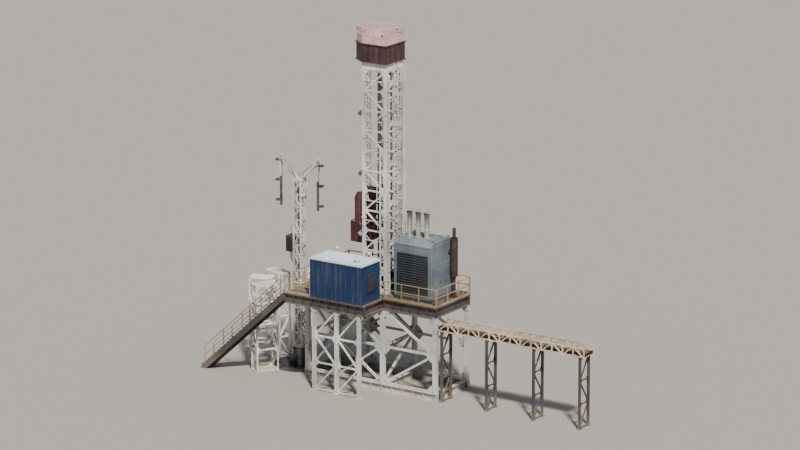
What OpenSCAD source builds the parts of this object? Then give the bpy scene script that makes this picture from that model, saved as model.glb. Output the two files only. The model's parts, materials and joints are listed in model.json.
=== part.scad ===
// Compact land drilling rig: substructure, drill floor, cabin, lattice mast, top drive,
// pipe handler with its bins, power unit and pipe bridge.
// The origin is the well centre at ground level. +X runs to the power side, +Y to the far side.

/* [Drill floor] */
// Height of the drill floor above the ground
floor_z = 5700; // [5300:50:6100]
// Well centre to the pipe-side edge of the floor
floor_front = 3400; // [3300:20:3440]
// Well centre to the rear edge of the wide floor
floor_back = 2300; // [2250:50:2500]
// Well centre to the near edge of the floor
wing_near = 3900; // [3850:50:4200]
// Well centre to the far edge of the floor
wing_far = 2900; // [2600:50:3400]
// Well centre to the rear edge of the power unit's platform
rear_x = 6000; // [5900:50:6250]
// Thickness of the deck plates
deck_t = 60; // [40:5:90]
// Depth of the floor girders
girder_h = 560; // [450:10:650]
// Width of the girder flanges
flange_w = 300; // [260:10:320]
// Thickness of the girder flanges
flange_t = 30; // [20:2:40]
// Thickness of the girder webs
web_t = 24; // [16:2:40]

/* [Substructure] */
// Well centre to each line of legs
sub_y = 1700; // [1640:20:1900]
// Depth of the base skids
base_h = 450; // [400:10:600]
// Side of the square legs
leg_t = 260; // [200:10:300]
// Side of the substructure's braces
brace_t = 130; // [90:10:160]
// Side of the posts under the cabin
post_t = 200; // [150:10:250]
// Side of the post foot plates
post_foot_w = 420; // [300:10:500]
// Side of the braces between the cabin's posts
post_brace_t = 90; // [60:5:120]
// Thickness of foot plates
foot_t = 40; // [20:5:60]

/* [Rotary table] */
// Diameter of the hole through the rotary table
rotary_bore = 698.5; // [444.5:0.5:700]
// Side of the table's upper flange
rotary_w = 1360; // [1330:5:1365]
// Side of the table's lower body
rotary_body_w = 1260; // [1200:10:1280]
// Depth of the lower body below the deck beams
rotary_body_h = 420; // [300:10:540]
// Height of the upper flange on its beams
rotary_flange_h = 120; // [80:5:160]
// Height of the turning ring over the flange
rotary_ring_h = 50; // [30:5:80]
// Radius of the turning ring
rotary_ring_r = 520; // [450:5:600]

/* [Mast] */
// Centre of the mast behind the well
mast_x = 1000; // [950:10:1060]
// Depth of the mast from front to back, over the legs
mast_d = 1700; // [1640:10:1760]
// Width of the mast over the legs
mast_w = 1800; // [1760:10:1900]
// Side of the four mast legs
chord_t = 180; // [150:5:190]
// Height of the top of the mast legs above the ground
mast_top = 19100; // [18600:50:19600]
// Number of lattice bays in the mast
mast_bays = 11; // [9:1:13]
// Side of the mast's lattice bars
lattice_t = 90; // [60:5:110]
// Height of the ring that ties the mast's head
head_ring_h = 460; // [300:10:600]
// Side of the mast's shoes
shoe_w = 240; // [200:10:240]
// Width of the top drive's guide rails along X
rail_w = 80; // [60:2:90]
// Depth of the guide rails towards the well
rail_d = 70; // [50:2:80]
// Width of the mast's ladder
ladder_w = 440; // [400:10:500]
// Gap between the mast's rear lattice and the ladder
ladder_gap = 140; // [120:5:180]

/* [Mast head] */
// Height of the head's side plates
crown_h = 1100; // [1000:20:1300]
// Half width of the head over the mast
crown_y = 1000; // [960:10:1100]
// Half width of the head's nose
nose_y = 480; // [460:10:520]
// Well centre to the tip of the nose
nose_x = 520; // [480:10:600]
// Thickness of the head's side plates
crown_t = 50; // [30:5:70]
// Radius at which the rope lies on a sheave
sheave_r = 450; // [420:5:460]
// Spacing of the sheaves
sheave_pitch = 170; // [150:5:180]
// Diameter of the sheave shaft
shaft_d = 160; // [120:5:200]
// Diameter of the hoist ropes
rope_d = 32; // [22:2:38]
// Height of the guard round the top of the head
guard_h = 900; // [700:20:1100]
// Depth of the stiffening ribs on the head's sides
rib_d = 60; // [40:5:80]

/* [Top drive] */
// Lowest height of the pipe elevator above the floor
elevator_gap = 1450; // [1300:25:1600]
// Height of the gearbox housing
gearbox_h = 1150; // [1000:25:1300]
// Width of the gearbox housing
gearbox_w = 900; // [800:10:1000]
// Depth of the gearbox housing along X
gearbox_d = 780; // [700:10:860]
// Height of the two motors
motor_h = 1150; // [950:25:1300]
// Diameter of a motor
motor_d = 400; // [340:10:420]
// Length of the elevator links
link_l = 1750; // [1600:25:1900]
// Diameter of the elevator links
link_d = 76; // [60:2:90]
// Diameter of the drive shaft under the gearbox
stem_d = 240; // [200:5:260]
// Height of the pipe elevator
elevator_h = 260; // [220:10:300]
// Running clearance of the guide shoes
shoe_gap = 10; // [6:1:14]

/* [Cabin] */
// Length of the driller's cabin
cabin_l = 3600; // [3400:50:3650]
// Width of the cabin
cabin_w = 1900; // [1800:20:1950]
// Height of the cabin walls
cabin_h = 2200; // [2100:20:2500]
// Thickness of the cabin walls
wall_t = 80; // [50:5:100]
// Thickness of the cabin's floor
cabin_floor_t = 100; // [60:5:140]
// Thickness of the cabin's roof
roof_t = 110; // [80:5:150]
// Overhang of the cabin's roof
roof_lip = 60; // [20:5:70]
// Gap between the edge of the floor and the cabin's near wall
cabin_inset = 80; // [70:5:120]
// Width of the cabin's doorway
door_w = 820; // [760:10:900]
// Height of the cabin's doorway
door_h = 1980; // [1900:10:2050]
// Width of a cabin window
window_w = 1150; // [900:25:1200]
// Height of a cabin window
window_h = 850; // [700:10:950]

/* [Power unit] */
// Length of the power unit's housing
power_l = 2600; // [2400:20:2700]
// Width of the power unit's housing
power_w = 2300; // [2200:20:2400]
// Height of the power unit's housing
power_h = 3600; // [3300:50:3800]
// Gap between the mast and the power unit
power_gap = 750; // [700:10:800]
// Bevel along the housing's roof edges
power_bevel = 260; // [180:10:340]
// Height of the intake and exhaust stacks over the roof
stack_h = 1500; // [1100:50:1700]
// Diameter of the stacks
stack_d = 300; // [240:10:340]
// Height of the skid under the power unit
power_skid_h = 160; // [120:10:220]
// Number of blades in each louvre
louvre_blades = 15; // [12:1:18]
// Diameter of the exhaust silencer
silencer_d = 440; // [360:10:480]

/* [Pipe bridge] */
// Length of the pipe bridge
bridge_l = 10000; // [9000:100:11000]
// Width of the pipe bridge
bridge_w = 1100; // [950:10:1150]
// Height of the bridge's underside
bridge_z = 4300; // [3900:50:4500]
// Height of the bridge's sides
bridge_h = 560; // [450:10:600]
// Side of the bridge's bars
bridge_t = 70; // [50:5:80]
// Thickness of the bridge's tray
tray_t = 40; // [20:5:60]
// Diameter of the pipes on the bridge
line_d = 150; // [100:5:160]
// Height of the bars that carry the pipes
sleeper_t = 50; // [40:5:60]

/* [Pipe handler] */
// Well centre to the pipe handler's slewing axis
handler_x = 5000; // [4980:20:5200]
// Side of the handler's column
column_w = 620; // [560:10:700]
// Height of the column's top
column_top = 11500; // [11000:50:12000]
// Height of the slewing ring
slew_z = 1200; // [1000:50:1400]
// Diameter of the slewing ring
slew_d = 860; // [840:10:1000]
// Rise of the head's tips above the column
head_rise = 1400; // [1200:50:1600]
// Reach of the head's tips from the slewing axis
head_reach = 1400; // [1300:10:1450]
// Length of the two hanging grip rails
grip_l = 3100; // [2800:50:3300]
// Side of the grip rails
grip_t = 110; // [80:5:130]
// Side of the head's two arms
head_arm_t = 150; // [110:5:170]
// Thickness of the plate on top of the column
head_plate_t = 120; // [80:5:160]
// Side of the column's legs
column_t = 90; // [70:5:110]
// Side of the column's lattice bars
column_lattice_t = 60; // [40:5:70]
// Number of lattice bays in the column
column_bays = 13; // [11:1:15]
// Thickness of the column's flange
slew_flange_t = 60; // [40:5:80]
// Outer diameter of a gripper's jaws
jaw_d = 280; // [240:10:320]

/* [Pipe bins] */
// Slewing axis to the inner side of a bin
bin_r = 1650; // [1600:10:1680]
// Length of a bin away from the handler
bin_l = 1450; // [1300:10:1480]
// Width of a bin
bin_w = 860; // [760:10:880]
// Height of a bin
bin_h = 5400; // [5000:50:5600]
// Side of the bin's bars
bin_t = 90; // [70:5:100]
// Number of fingers across the top of a bin
fingers = 4; // [3:1:5]

/* [Stair and rails] */
// Width of the stair between its stringers
stair_w = 820; // [760:10:840]
// Slope of the stair in degrees
stair_slope = 42; // [41:0.5:44]
// Number of risers
risers = 27; // [25:1:30]
// Height of the handrails
handrail_h = 1100; // [1000:10:1200]
// Side of the handrail tubes
tube_t = 50; // [40:2:60]

/* [Hidden] */

round_fn = 48;
fit = 0.3;
seat_gap = 10;
rail_gap = 10;
body_gap = 20;
motor_gap = 15;
sheave_gap = 30;
bearing_gap = 40;
silencer_gap = 100;
line_gap = 10;
seat_z = floor_z - deck_t;
frame_z = seat_z - girder_h;
front_x = -(floor_front - flange_w / 2);
back_x = floor_back - flange_w / 2;
rear_line = rear_x - flange_w / 2;
near_y = -(wing_near - flange_w / 2);
far_y = wing_far - flange_w / 2;
well_beam_x = 1100;
leg_lines = [front_x, -well_beam_x, back_x, rear_line];

chord_x = (mast_d - chord_t) / 2;
chord_y = (mast_w - chord_t) / 2;
chord_front = mast_x - chord_x;
chord_back = mast_x + chord_x;
shoe_top = floor_z + foot_t;
mast_h = mast_top - shoe_top;
ring_top = mast_top + head_ring_h;

well_beam_y = rotary_body_w / 2 + body_gap + flange_w / 2;
deck_hole = rotary_w + 2 * seat_gap;

shaft_rise = 130;
shaft_z = ring_top + sheave_r + shaft_rise;
shaft_x = sheave_r;
bearing_y = 2 * sheave_pitch + bearing_gap;
crown_top = ring_top + crown_h;
crown_lip = 60;
crown_back = mast_x + mast_d / 2 + crown_lip;
groove_r = rope_d / 2 + 1;
rim_t = 20;
sheave_rim = sheave_r + groove_r + rim_t;
sheave_w = sheave_pitch - sheave_gap;
rope_rows = [-1.5, -0.5, 0.5, 1.5];

elevator_z = floor_z + elevator_gap;
link_seat = 500;
gearbox_z = elevator_z + elevator_h + link_l - link_seat;
gearbox_cut = 90;
motor_z = gearbox_z + gearbox_h;
motor_y = motor_d / 2 + motor_gap;
yoke_rise = 500;
yoke_l = 400;
yoke_z = motor_z + motor_h + yoke_rise;
yoke_beam_h = 200;
socket_h = 220;
drive_top = yoke_z + yoke_beam_h + socket_h;
arm_t = 60;
arm_w = 200;
arm_pin_d = 300;
arm_pin_rise = 300;
arm_pin_z = gearbox_z + arm_pin_rise;
link_y = 330;
rail_y = chord_y - chord_t / 2 - rail_d;
carriage_y = rail_y - shoe_gap;
shoe_h = 300;

drum_r = 300;
drum_rise = 700;
drum_z = shoe_top + drum_rise;
drum_x = shaft_x + sheave_r + drum_r + rope_d / 2;

cabin_back = 250;
cabin_x = back_x + flange_w / 2 - cabin_back - cabin_l;
cabin_y = cabin_inset - wing_near;
cabin_sill = floor_z + cabin_floor_t;
roof_z = cabin_sill + cabin_h;
window_z = 950;
window_lines = [cabin_l / 4, cabin_l * 3 / 4];

power_x = mast_x + mast_d / 2 + power_gap;
power_top = floor_z + power_h;
louvre_margin = 250;
louvre_l = power_l - 2 * louvre_margin;
louvre_h = 2400;
silencer_x = power_x + power_l + silencer_d / 2 + silencer_gap;
silencer_side = 350;
silencer_y = power_w / 2 - silencer_side;

bridge_x = rear_line + leg_t / 2;
bridge_y = -sub_y - bridge_t / 2;
trestle_x = [0.03, 0.34, 0.66, 0.97];
line_pitch = (bridge_w - 2 * bridge_t - 2 * line_gap) / 4;
line_z = bridge_z + tray_t + sleeper_t + line_d / 2;
sleepers = 8;

head_tip_z = column_top + head_rise;
column_h = column_top - slew_z - slew_flange_t;
bin_angles = [120, 160, 200, 240];

stair_inset = 40;
stair_y = stair_inset - wing_near;
stair_run = floor_z / tan(stair_slope);
riser = floor_z / risers;
going = stair_run / risers;
stringer_t = 40;
stringer_h = 300;
rail_steps = [for (i = [0 : 4]) 1.5 + i * (risers - 3) / 4];

// A square bar between two points
module bar(a, b, t) {
    d = b - a;
    translate(a)
        rotate([0, atan2(norm([d.x, d.y]), d.z), atan2(d.y, d.x)])
            translate([-t / 2, -t / 2, 0]) cube([t, t, norm(d)]);
}

// The plan of beams that run along X or Y, each given by its two ends
module beam_plan(runs, w) {
    for (r = runs)
        translate([min(r[0].x, r[1].x) - (r[0].x == r[1].x ? w / 2 : 0),
                   min(r[0].y, r[1].y) - (r[0].y == r[1].y ? w / 2 : 0)])
            square([abs(r[1].x - r[0].x) + (r[0].x == r[1].x ? w : 0),
                    abs(r[1].y - r[0].y) + (r[0].y == r[1].y ? w : 0)]);
}

// A rectangle about the origin with its corners cut off
module cut_plan(x, y, cut) {
    polygon([[-x / 2 + cut, -y / 2], [x / 2 - cut, -y / 2], [x / 2, -y / 2 + cut], [x / 2, y / 2 - cut],
        [x / 2 - cut, y / 2], [-x / 2 + cut, y / 2], [-x / 2, y / 2 - cut], [-x / 2, -y / 2 + cut]]);
}

// Welded I beams on one plan: lower flanges, webs and upper flanges
module beam_grid(runs, h) {
    linear_extrude(flange_t) beam_plan(runs, flange_w);
    translate([0, 0, flange_t]) linear_extrude(h - 2 * flange_t) beam_plan(runs, web_t);
    translate([0, 0, h - flange_t]) linear_extrude(flange_t) beam_plan(runs, flange_w);
}

// A flat strip between two points of an outline
module strip(a, b, t) {
    d = b - a;
    translate(a) rotate(atan2(d.y, d.x)) translate([0, -t / 2]) square([norm(d), t]);
}

// Rungs and diagonals between two chords, cut flush with the chords. The diagonals' centre
// lines meet inside the chords, half a bar behind their faces.
module lattice_plan(w, h, bays, t, crossed = false) {
    bay = (h - t) / bays;
    slope = bay / (w + t);
    left = -2 * t;
    right = w + 2 * t;
    intersection() {
        square([w, h]);
        union() {
            for (i = [0 : bays]) translate([0, i * bay]) square([w, t]);
            for (i = [0 : bays - 1]) {
                low = t / 2 + i * bay;
                from = low + slope * (left + t / 2);
                to = low + slope * (right + t / 2);
                if (crossed || i % 2 == 0) strip([left, from], [right, to], t);
                if (crossed || i % 2 == 1) strip([right, from], [left, to], t);
            }
        }
    }
}

// One flat side of a lattice, from the corner along X and Z, as thick as its bars
module lattice(w, h, bays, t, crossed = false) {
    rotate([90, 0, 0]) linear_extrude(t, center = true) lattice_plan(w, h, bays, t, crossed);
}

// A straight handrail along X with posts, two rails and a toe board
module railing(l, bays) {
    pitch = (l - tube_t) / bays;
    union() {
        for (i = [0 : bays]) translate([i * pitch, 0, 0]) cube([tube_t, tube_t, handrail_h]);
        for (z = [handrail_h / 2, handrail_h - tube_t])
            translate([0, 0, z]) cube([l, tube_t, tube_t]);
        translate([0, tube_t / 4, 0]) cube([l, tube_t / 2, 150]);
    }
}

module base_frame() {
    cross = [for (x = leg_lines) [[x, -sub_y], [x, sub_y]]];
    color("dimgray") beam_grid(concat([[[-floor_front, -sub_y], [rear_x, -sub_y]],
        [[-floor_front, sub_y], [rear_x, sub_y]]], cross), base_h);
}

module substructure_legs() {
    color("silver") for (x = leg_lines, side = [-1, 1])
        translate([x - leg_t / 2, side * sub_y - leg_t / 2, base_h])
            cube([leg_t, leg_t, frame_z - base_h]);
}

module side_bracing(y) {
    for (i = [0 : len(leg_lines) - 2]) {
        w = leg_lines[i + 1] - leg_lines[i] - leg_t;
        translate([leg_lines[i] + leg_t / 2, y, base_h])
            lattice(w, frame_z - base_h, 2, brace_t, i == 1);
    }
}

module substructure_bracing_sides() {
    color("silver") for (side = [-1, 1]) side_bracing(side * sub_y);
}

module substructure_bracing_ends() {
    color("silver") for (x = [leg_lines[0], leg_lines[2]])
        translate([x, -sub_y + leg_t / 2, base_h])
            rotate([0, 0, 90]) lattice(2 * sub_y - leg_t, frame_z - base_h, 2, brace_t);
}

// The section of a welded I beam, standing on its lower flange
module i_section(h) {
    for (z = [0, h - flange_t]) translate([-flange_w / 2, z]) square([flange_w, flange_t]);
    translate([-web_t / 2, 0]) square([web_t, h]);
}

// An I beam along X
module beam_x(x0, x1, y) {
    translate([x0, y, frame_z]) rotate([90, 0, 90]) linear_extrude(x1 - x0) i_section(girder_h);
}

// An I beam along Y
module beam_y(y0, y1, x) {
    translate([x, y1, frame_z]) rotate([90, 0, 0]) linear_extrude(y1 - y0) i_section(girder_h);
}

module floor_girders() {
    color("gray") {
        for (side = [-1, 1]) beam_x(-floor_front, rear_x, side * sub_y);
        for (y = [near_y, far_y]) beam_x(-floor_front, floor_back, y);
    }
}

module floor_beams() {
    half = flange_w / 2;
    color("gray") {
        for (x = concat(leg_lines, [(back_x + rear_line) / 2])) beam_y(-sub_y + half, sub_y - half, x);
        for (x = [front_x, -well_beam_x, back_x]) {
            beam_y(near_y + half, -sub_y - half, x);
            beam_y(sub_y + half, far_y - half, x);
        }
        beam_y(half - well_beam_y, well_beam_y - half, well_beam_x);
    }
}

module well_beams() {
    half = flange_w / 2;
    color("gray") for (side = [-1, 1]) beam_x(half - well_beam_x, back_x - half, side * well_beam_y);
}

module floor_deck() {
    color("slategray") translate([0, 0, seat_z]) linear_extrude(deck_t) difference() {
        union() {
            translate([-floor_front, -wing_near])
                square([floor_front + floor_back, wing_near + wing_far]);
            translate([floor_back - 1, -sub_y - flange_w / 2])
                square([rear_x - floor_back + 1, 2 * sub_y + flange_w]);
        }
        square(deck_hole, center = true);
    }
}

module rotary_table() {
    color("dimgray") difference() {
        union() {
            translate([-rotary_body_w / 2, -rotary_body_w / 2, seat_z - rotary_body_h])
                cube([rotary_body_w, rotary_body_w, rotary_body_h]);
            translate([-rotary_w / 2, -rotary_w / 2, seat_z])
                cube([rotary_w, rotary_w, rotary_flange_h]);
            translate([0, 0, seat_z + rotary_flange_h])
                cylinder(h = rotary_ring_h, r = rotary_ring_r, $fn = round_fn);
        }
        translate([0, 0, seat_z - rotary_body_h - 1])
            cylinder(h = rotary_body_h + rotary_flange_h + rotary_ring_h + 2,
                d = rotary_bore, $fn = round_fn);
    }
}

module floor_railings() {
    landing = stair_w + 2 * stringer_t + 40;
    edge = sub_y + flange_w / 2;
    color("gold") {
        translate([-floor_front, wing_far - tube_t, floor_z]) railing(floor_front + floor_back, 4);
        translate([-floor_front + tube_t, landing - wing_near, floor_z]) rotate([0, 0, 90])
            railing(wing_near + wing_far - landing - tube_t - rail_gap, 5);
        translate([-floor_front, -wing_near, floor_z]) railing(floor_front + cabin_x - rail_gap, 1);
        translate([floor_back, edge + rail_gap, floor_z]) rotate([0, 0, 90])
            railing(wing_far - edge - tube_t - 2 * rail_gap, 1);
        for (y = [-edge, edge - tube_t])
            translate([floor_back + rail_gap, y, floor_z]) railing(rear_x - floor_back - rail_gap, 3);
        translate([rear_x, rail_gap + tube_t - edge, floor_z]) rotate([0, 0, 90])
            railing(2 * (edge - tube_t - rail_gap), 3);
    }
}

module stringer_shape() {
    over = stringer_h / 2 / cos(stair_slope);
    polygon([[0, over], [-stair_run, over - floor_z], [-stair_run - over / tan(stair_slope), -floor_z],
        [-stair_run + over / tan(stair_slope), -floor_z], [0, -over]]);
}

module stair_stringers() {
    color("dimgray") for (y = [stair_y, stair_y + stringer_t + stair_w])
        translate([-floor_front, y + stringer_t, floor_z - stringer_h / 2 / cos(stair_slope)])
            rotate([90, 0, 0]) linear_extrude(stringer_t) intersection() {
                stringer_shape();
                translate([-2 * stair_run, -floor_z + stringer_h / 2 / cos(stair_slope)])
                    square([2 * stair_run, floor_z]);
            }
}

module stair_treads() {
    tread_t = 40;
    overlap = 30;
    color("gray") for (i = [1 : risers - 1])
        translate([-floor_front - (i + 0.5) * going - overlap, stair_y + stringer_t,
                   floor_z - i * riser - tread_t])
            cube([going + overlap, stair_w, tread_t]);
}

// The outline of one raked handrail: posts with their feet cut to the slope, and two rails
module raked_rail_plan() {
    rake = tan(stair_slope);
    low = [-rail_steps[4] * going, -rail_steps[4] * riser];
    high = [tube_t - rail_steps[0] * going, tube_t * rake - rail_steps[0] * riser];
    for (i = rail_steps) translate([-i * going, -i * riser])
        polygon([[0, 0], [tube_t, tube_t * rake], [tube_t, handrail_h], [0, handrail_h]]);
    for (z = [handrail_h / 2, handrail_h]) translate([0, z - tube_t])
        polygon([low, high, high + [0, tube_t], low + [0, tube_t]]);
}

module stair_handrails() {
    color("gold") for (y = [stair_y + stringer_t, stair_y + stringer_t + stair_w + tube_t])
        translate([-floor_front, y, floor_z + fit]) rotate([90, 0, 0])
            linear_extrude(tube_t) raked_rail_plan();
}

module cabin_posts() {
    color("dimgray") for (x = [cabin_x + post_t, cabin_x + cabin_l / 2, cabin_x + cabin_l - post_t])
        union() {
            translate([x - post_t / 2, near_y - post_t / 2, foot_t])
                cube([post_t, post_t, frame_z - foot_t]);
            translate([x - post_foot_w / 2, near_y - post_foot_w / 2, 0])
                cube([post_foot_w, post_foot_w, foot_t]);
        }
}

// White lattice between the cabin's posts, set in from their feet and heads
module cabin_post_braces() {
    span = (cabin_l - 2 * post_t) / 2 - post_t;
    color("whitesmoke") for (x = [cabin_x + post_t, cabin_x + cabin_l / 2])
        translate([x + post_t / 2, near_y, foot_t])
            lattice(span, frame_z - foot_t, 3, post_brace_t);
}

module cabin_floor() {
    color("dimgray") translate([cabin_x, cabin_y, floor_z])
        cube([cabin_l, cabin_w, cabin_floor_t]);
}

module cabin_wall_near() {
    color("steelblue") translate([cabin_x, cabin_y, cabin_sill]) cube([cabin_l, wall_t, cabin_h]);
}

module cabin_wall_far() {
    color("steelblue") translate([cabin_x, cabin_y, cabin_sill]) difference() {
        translate([0, cabin_w - wall_t, 0]) cube([cabin_l, wall_t, cabin_h]);
        for (x = window_lines) translate([x - window_w / 2, cabin_w - wall_t - 1, window_z])
            cube([window_w, wall_t + 2, window_h]);
    }
}

module cabin_wall_ends() {
    inner = cabin_w - 2 * wall_t;
    color("steelblue") translate([cabin_x, cabin_y, cabin_sill]) {
        translate([cabin_l - wall_t, wall_t, 0]) cube([wall_t, inner, cabin_h]);
        difference() {
            translate([0, wall_t, 0]) cube([wall_t, inner, cabin_h]);
            translate([-1, (cabin_w - door_w) / 2, -1]) cube([wall_t + 2, door_w, door_h + 1]);
        }
    }
}

module cabin_roof() {
    color("lightsteelblue") translate([cabin_x - roof_lip, cabin_y, roof_z])
        cube([cabin_l + 2 * roof_lip, cabin_w + roof_lip, roof_t]);
}

module cabin_door() {
    leaf_t = 50;
    jamb_y = cabin_y + (cabin_w - door_w) / 2;
    color("lightsteelblue") translate([cabin_x + (wall_t - leaf_t) / 2, jamb_y + fit, cabin_sill + fit])
        cube([leaf_t, door_w - 2 * fit, door_h - 2 * fit]);
}

module cabin_windows() {
    glass_t = 16;
    color("lightcyan") for (x = window_lines)
        translate([cabin_x + x - window_w / 2, cabin_y + cabin_w - wall_t / 2 - glass_t / 2,
                   cabin_sill + window_z])
            cube([window_w, glass_t, window_h]);
}

module at_chords() {
    for (x = [chord_front, chord_back], side = [-1, 1]) translate([x, side * chord_y, 0]) children();
}

module mast_shoes() {
    color("gray") at_chords() translate([-shoe_w / 2, -shoe_w / 2, floor_z])
        cube([shoe_w, shoe_w, foot_t]);
}

module mast_legs() {
    color("whitesmoke") at_chords() translate([-chord_t / 2, -chord_t / 2, shoe_top])
        cube([chord_t, chord_t, mast_h]);
}

module mast_lattice_sides() {
    color("whitesmoke") for (side = [-1, 1])
        translate([chord_front + chord_t / 2, side * chord_y, shoe_top])
            lattice(2 * chord_x - chord_t, mast_h, mast_bays, lattice_t);
}

module mast_lattice_back() {
    color("whitesmoke") translate([chord_back, -chord_y + chord_t / 2, shoe_top])
        rotate([0, 0, 90]) lattice(2 * chord_y - chord_t, mast_h, mast_bays, lattice_t);
}

module mast_head_ring() {
    color("white") translate([mast_x, 0, mast_top]) linear_extrude(head_ring_h) difference() {
        square([mast_d, mast_w], center = true);
        square([mast_d - 2 * chord_t, mast_w - 2 * chord_t], center = true);
    }
}

// The ladder's stiles and rungs, flat, with brackets to every second bay of the rear lattice
module mast_ladder() {
    stile = 50;
    rung_pitch = 300;
    rungs = floor((ring_top - floor_z) / rung_pitch);
    bay = (mast_h - lattice_t) / mast_bays;
    front = chord_back + lattice_t / 2;
    color("gainsboro") {
        translate([front + ladder_gap, 0, floor_z]) rotate([90, 0, 90]) linear_extrude(stile / 2) {
            for (side = [-1, 1]) translate([side * (ladder_w - stile) / 2 - stile / 2, 0])
                square([stile, ring_top - floor_z]);
            for (i = [1 : rungs - 1])
                translate([-ladder_w / 2, i * rung_pitch]) square([ladder_w, 28]);
        }
        for (i = [1 : 2 : mast_bays], side = [-1, 1])
            translate([front, side * (ladder_w - stile) / 2 - stile / 2, shoe_top + i * bay])
                cube([ladder_gap, stile, lattice_t]);
    }
}

module guide_rails() {
    foot = 300;
    color("dimgray") for (side = [-1, 1])
        translate([chord_front - rail_w / 2, side > 0 ? rail_y : -rail_y - rail_d, shoe_top + foot])
            cube([rail_w, rail_d, mast_h - foot]);
}

// The head's outline seen from above, wider or narrower by grow on every side
module crown_plan(grow = 0) {
    back = crown_back + grow;
    side = crown_y + grow;
    polygon([[-nose_x - grow, -nose_y - grow / 2], [-nose_x - grow, nose_y + grow / 2],
        [chord_front - grow / 2, side], [back, side], [back, -side], [chord_front - grow / 2, -side]]);
}

module head_frame() {
    slot_w = 4 * sheave_pitch - 20;
    back = crown_back;
    color("brown") translate([0, 0, ring_top]) difference() {
        union() {
            linear_extrude(crown_t) crown_plan();
            linear_extrude(crown_h) difference() {
                crown_plan();
                crown_plan(-crown_t);
            }
            for (z = [0, crown_h - crown_t]) translate([0, 0, z]) linear_extrude(crown_t) difference() {
                crown_plan(rib_d);
                crown_plan(-crown_t);
            }
            for (y = [crown_y - 1, -crown_y - rib_d + 1], i = [1 : 3])
                translate([chord_front + i * (back - chord_front) / 4, y, 0])
                    cube([crown_t / 2, rib_d, crown_h]);
            for (y = [-0.5, 0, 0.5]) translate([back - 1, y * crown_y - crown_t / 4, 0])
                cube([rib_d, crown_t / 2, crown_h]);
            for (side = [-1, 1])
                translate([-nose_x + crown_t / 2, side * bearing_y - crown_t / 2, 0])
                    cube([back - 30 + nose_x - crown_t / 2, crown_t, crown_h - 200]);
        }
        translate([shaft_x - sheave_rim - 40, -slot_w / 2, -1])
            cube([2 * sheave_rim + 80, slot_w, crown_t + 2]);
        translate([shaft_x, 0, shaft_z - ring_top]) rotate([90, 0, 0])
            cylinder(h = 2 * bearing_y + 2 * crown_t, d = shaft_d + 2 * fit, center = true, $fn = round_fn);
    }
}

module head_sheaves() {
    color("dimgray") translate([shaft_x, 0, shaft_z]) rotate([90, 0, 0]) {
        cylinder(h = 2 * bearing_y + crown_t + 60, d = shaft_d, center = true, $fn = round_fn);
        for (row = rope_rows) translate([0, 0, row * sheave_pitch]) rotate_extrude($fn = round_fn)
            difference() {
                translate([shaft_d / 2 + fit, -sheave_w / 2])
                    square([sheave_rim - shaft_d / 2 - fit, sheave_w]);
                translate([sheave_r, 0]) circle(groove_r, $fn = 24);
                translate([sheave_r, -groove_r]) square([sheave_rim, 2 * groove_r]);
            }
    }
}

module head_guard() {
    back = crown_back - tube_t;
    side = crown_y - tube_t;
    color("rosybrown") translate([0, 0, crown_top]) union() {
        for (z = [guard_h / 2, guard_h - tube_t])
            translate([0, 0, z]) linear_extrude(tube_t) difference() {
                crown_plan();
                crown_plan(-tube_t);
            }
        linear_extrude(guard_h / 2) difference() {
            crown_plan(-tube_t / 4);
            crown_plan(-tube_t * 3 / 4);
        }
        for (x = [chord_front, mast_x, back], y = [side, -crown_y])
            translate([x, y, 0]) cube([tube_t, tube_t, guard_h]);
        for (y = [-nose_y, nose_y - tube_t]) translate([-nose_x, y, 0]) cube([tube_t, tube_t, guard_h]);
    }
}

module hoist_ropes() {
    color("dimgray") for (row = rope_rows)
        translate([0, row * sheave_pitch, drive_top])
            cylinder(h = shaft_z - drive_top, d = rope_d, $fn = 8);
}

module winch_ropes() {
    color("dimgray") for (row = rope_rows)
        translate([shaft_x, row * sheave_pitch, 0]) union() {
            translate([sheave_r, 0, drum_z]) cylinder(h = shaft_z - drum_z, d = rope_d, $fn = 8);
            translate([0, 0, shaft_z]) rotate([90, 0, 0])
                rotate_extrude(angle = 180, $fn = round_fn)
                    translate([sheave_r, 0]) circle(d = rope_d, $fn = 16);
        }
}

// The winch's drum between two side frames, with a motor on one side and a brake on the other
module hoist_winch() {
    frame_y = 2 * sheave_pitch + 40;
    frame_t = 60;
    foot = 420;
    motor_l = 260;
    top = drum_z - floor_z;
    color("gray") translate([drum_x, 0, drum_z]) rotate([90, 0, 0]) union() {
        cylinder(h = 2 * frame_y, r = drum_r, center = true, $fn = round_fn);
        for (side = [-1, 1]) translate([0, 0, side * (frame_y - 20)])
            cylinder(h = 30, r = drum_r + 110, center = true, $fn = round_fn);
    }
    color("dimgray") for (side = [-1, 1])
        translate([drum_x, side > 0 ? frame_y + frame_t : -frame_y, floor_z]) rotate([90, 0, 0])
            linear_extrude(frame_t) polygon([[-foot, 0], [foot, 0], [foot, 120], [240, top + 120],
                [140, top + 220], [-140, top + 220], [-240, top + 120], [-foot, 120]]);
    color("gray") for (side = [-1, 1])
        translate([drum_x, side * (frame_y + frame_t), drum_z]) rotate([side * -90, 0, 0]) union() {
            cylinder(h = 90, d = 520, $fn = round_fn);
            cylinder(h = motor_l, d = motor_l + 80, $fn = round_fn);
        }
}

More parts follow.
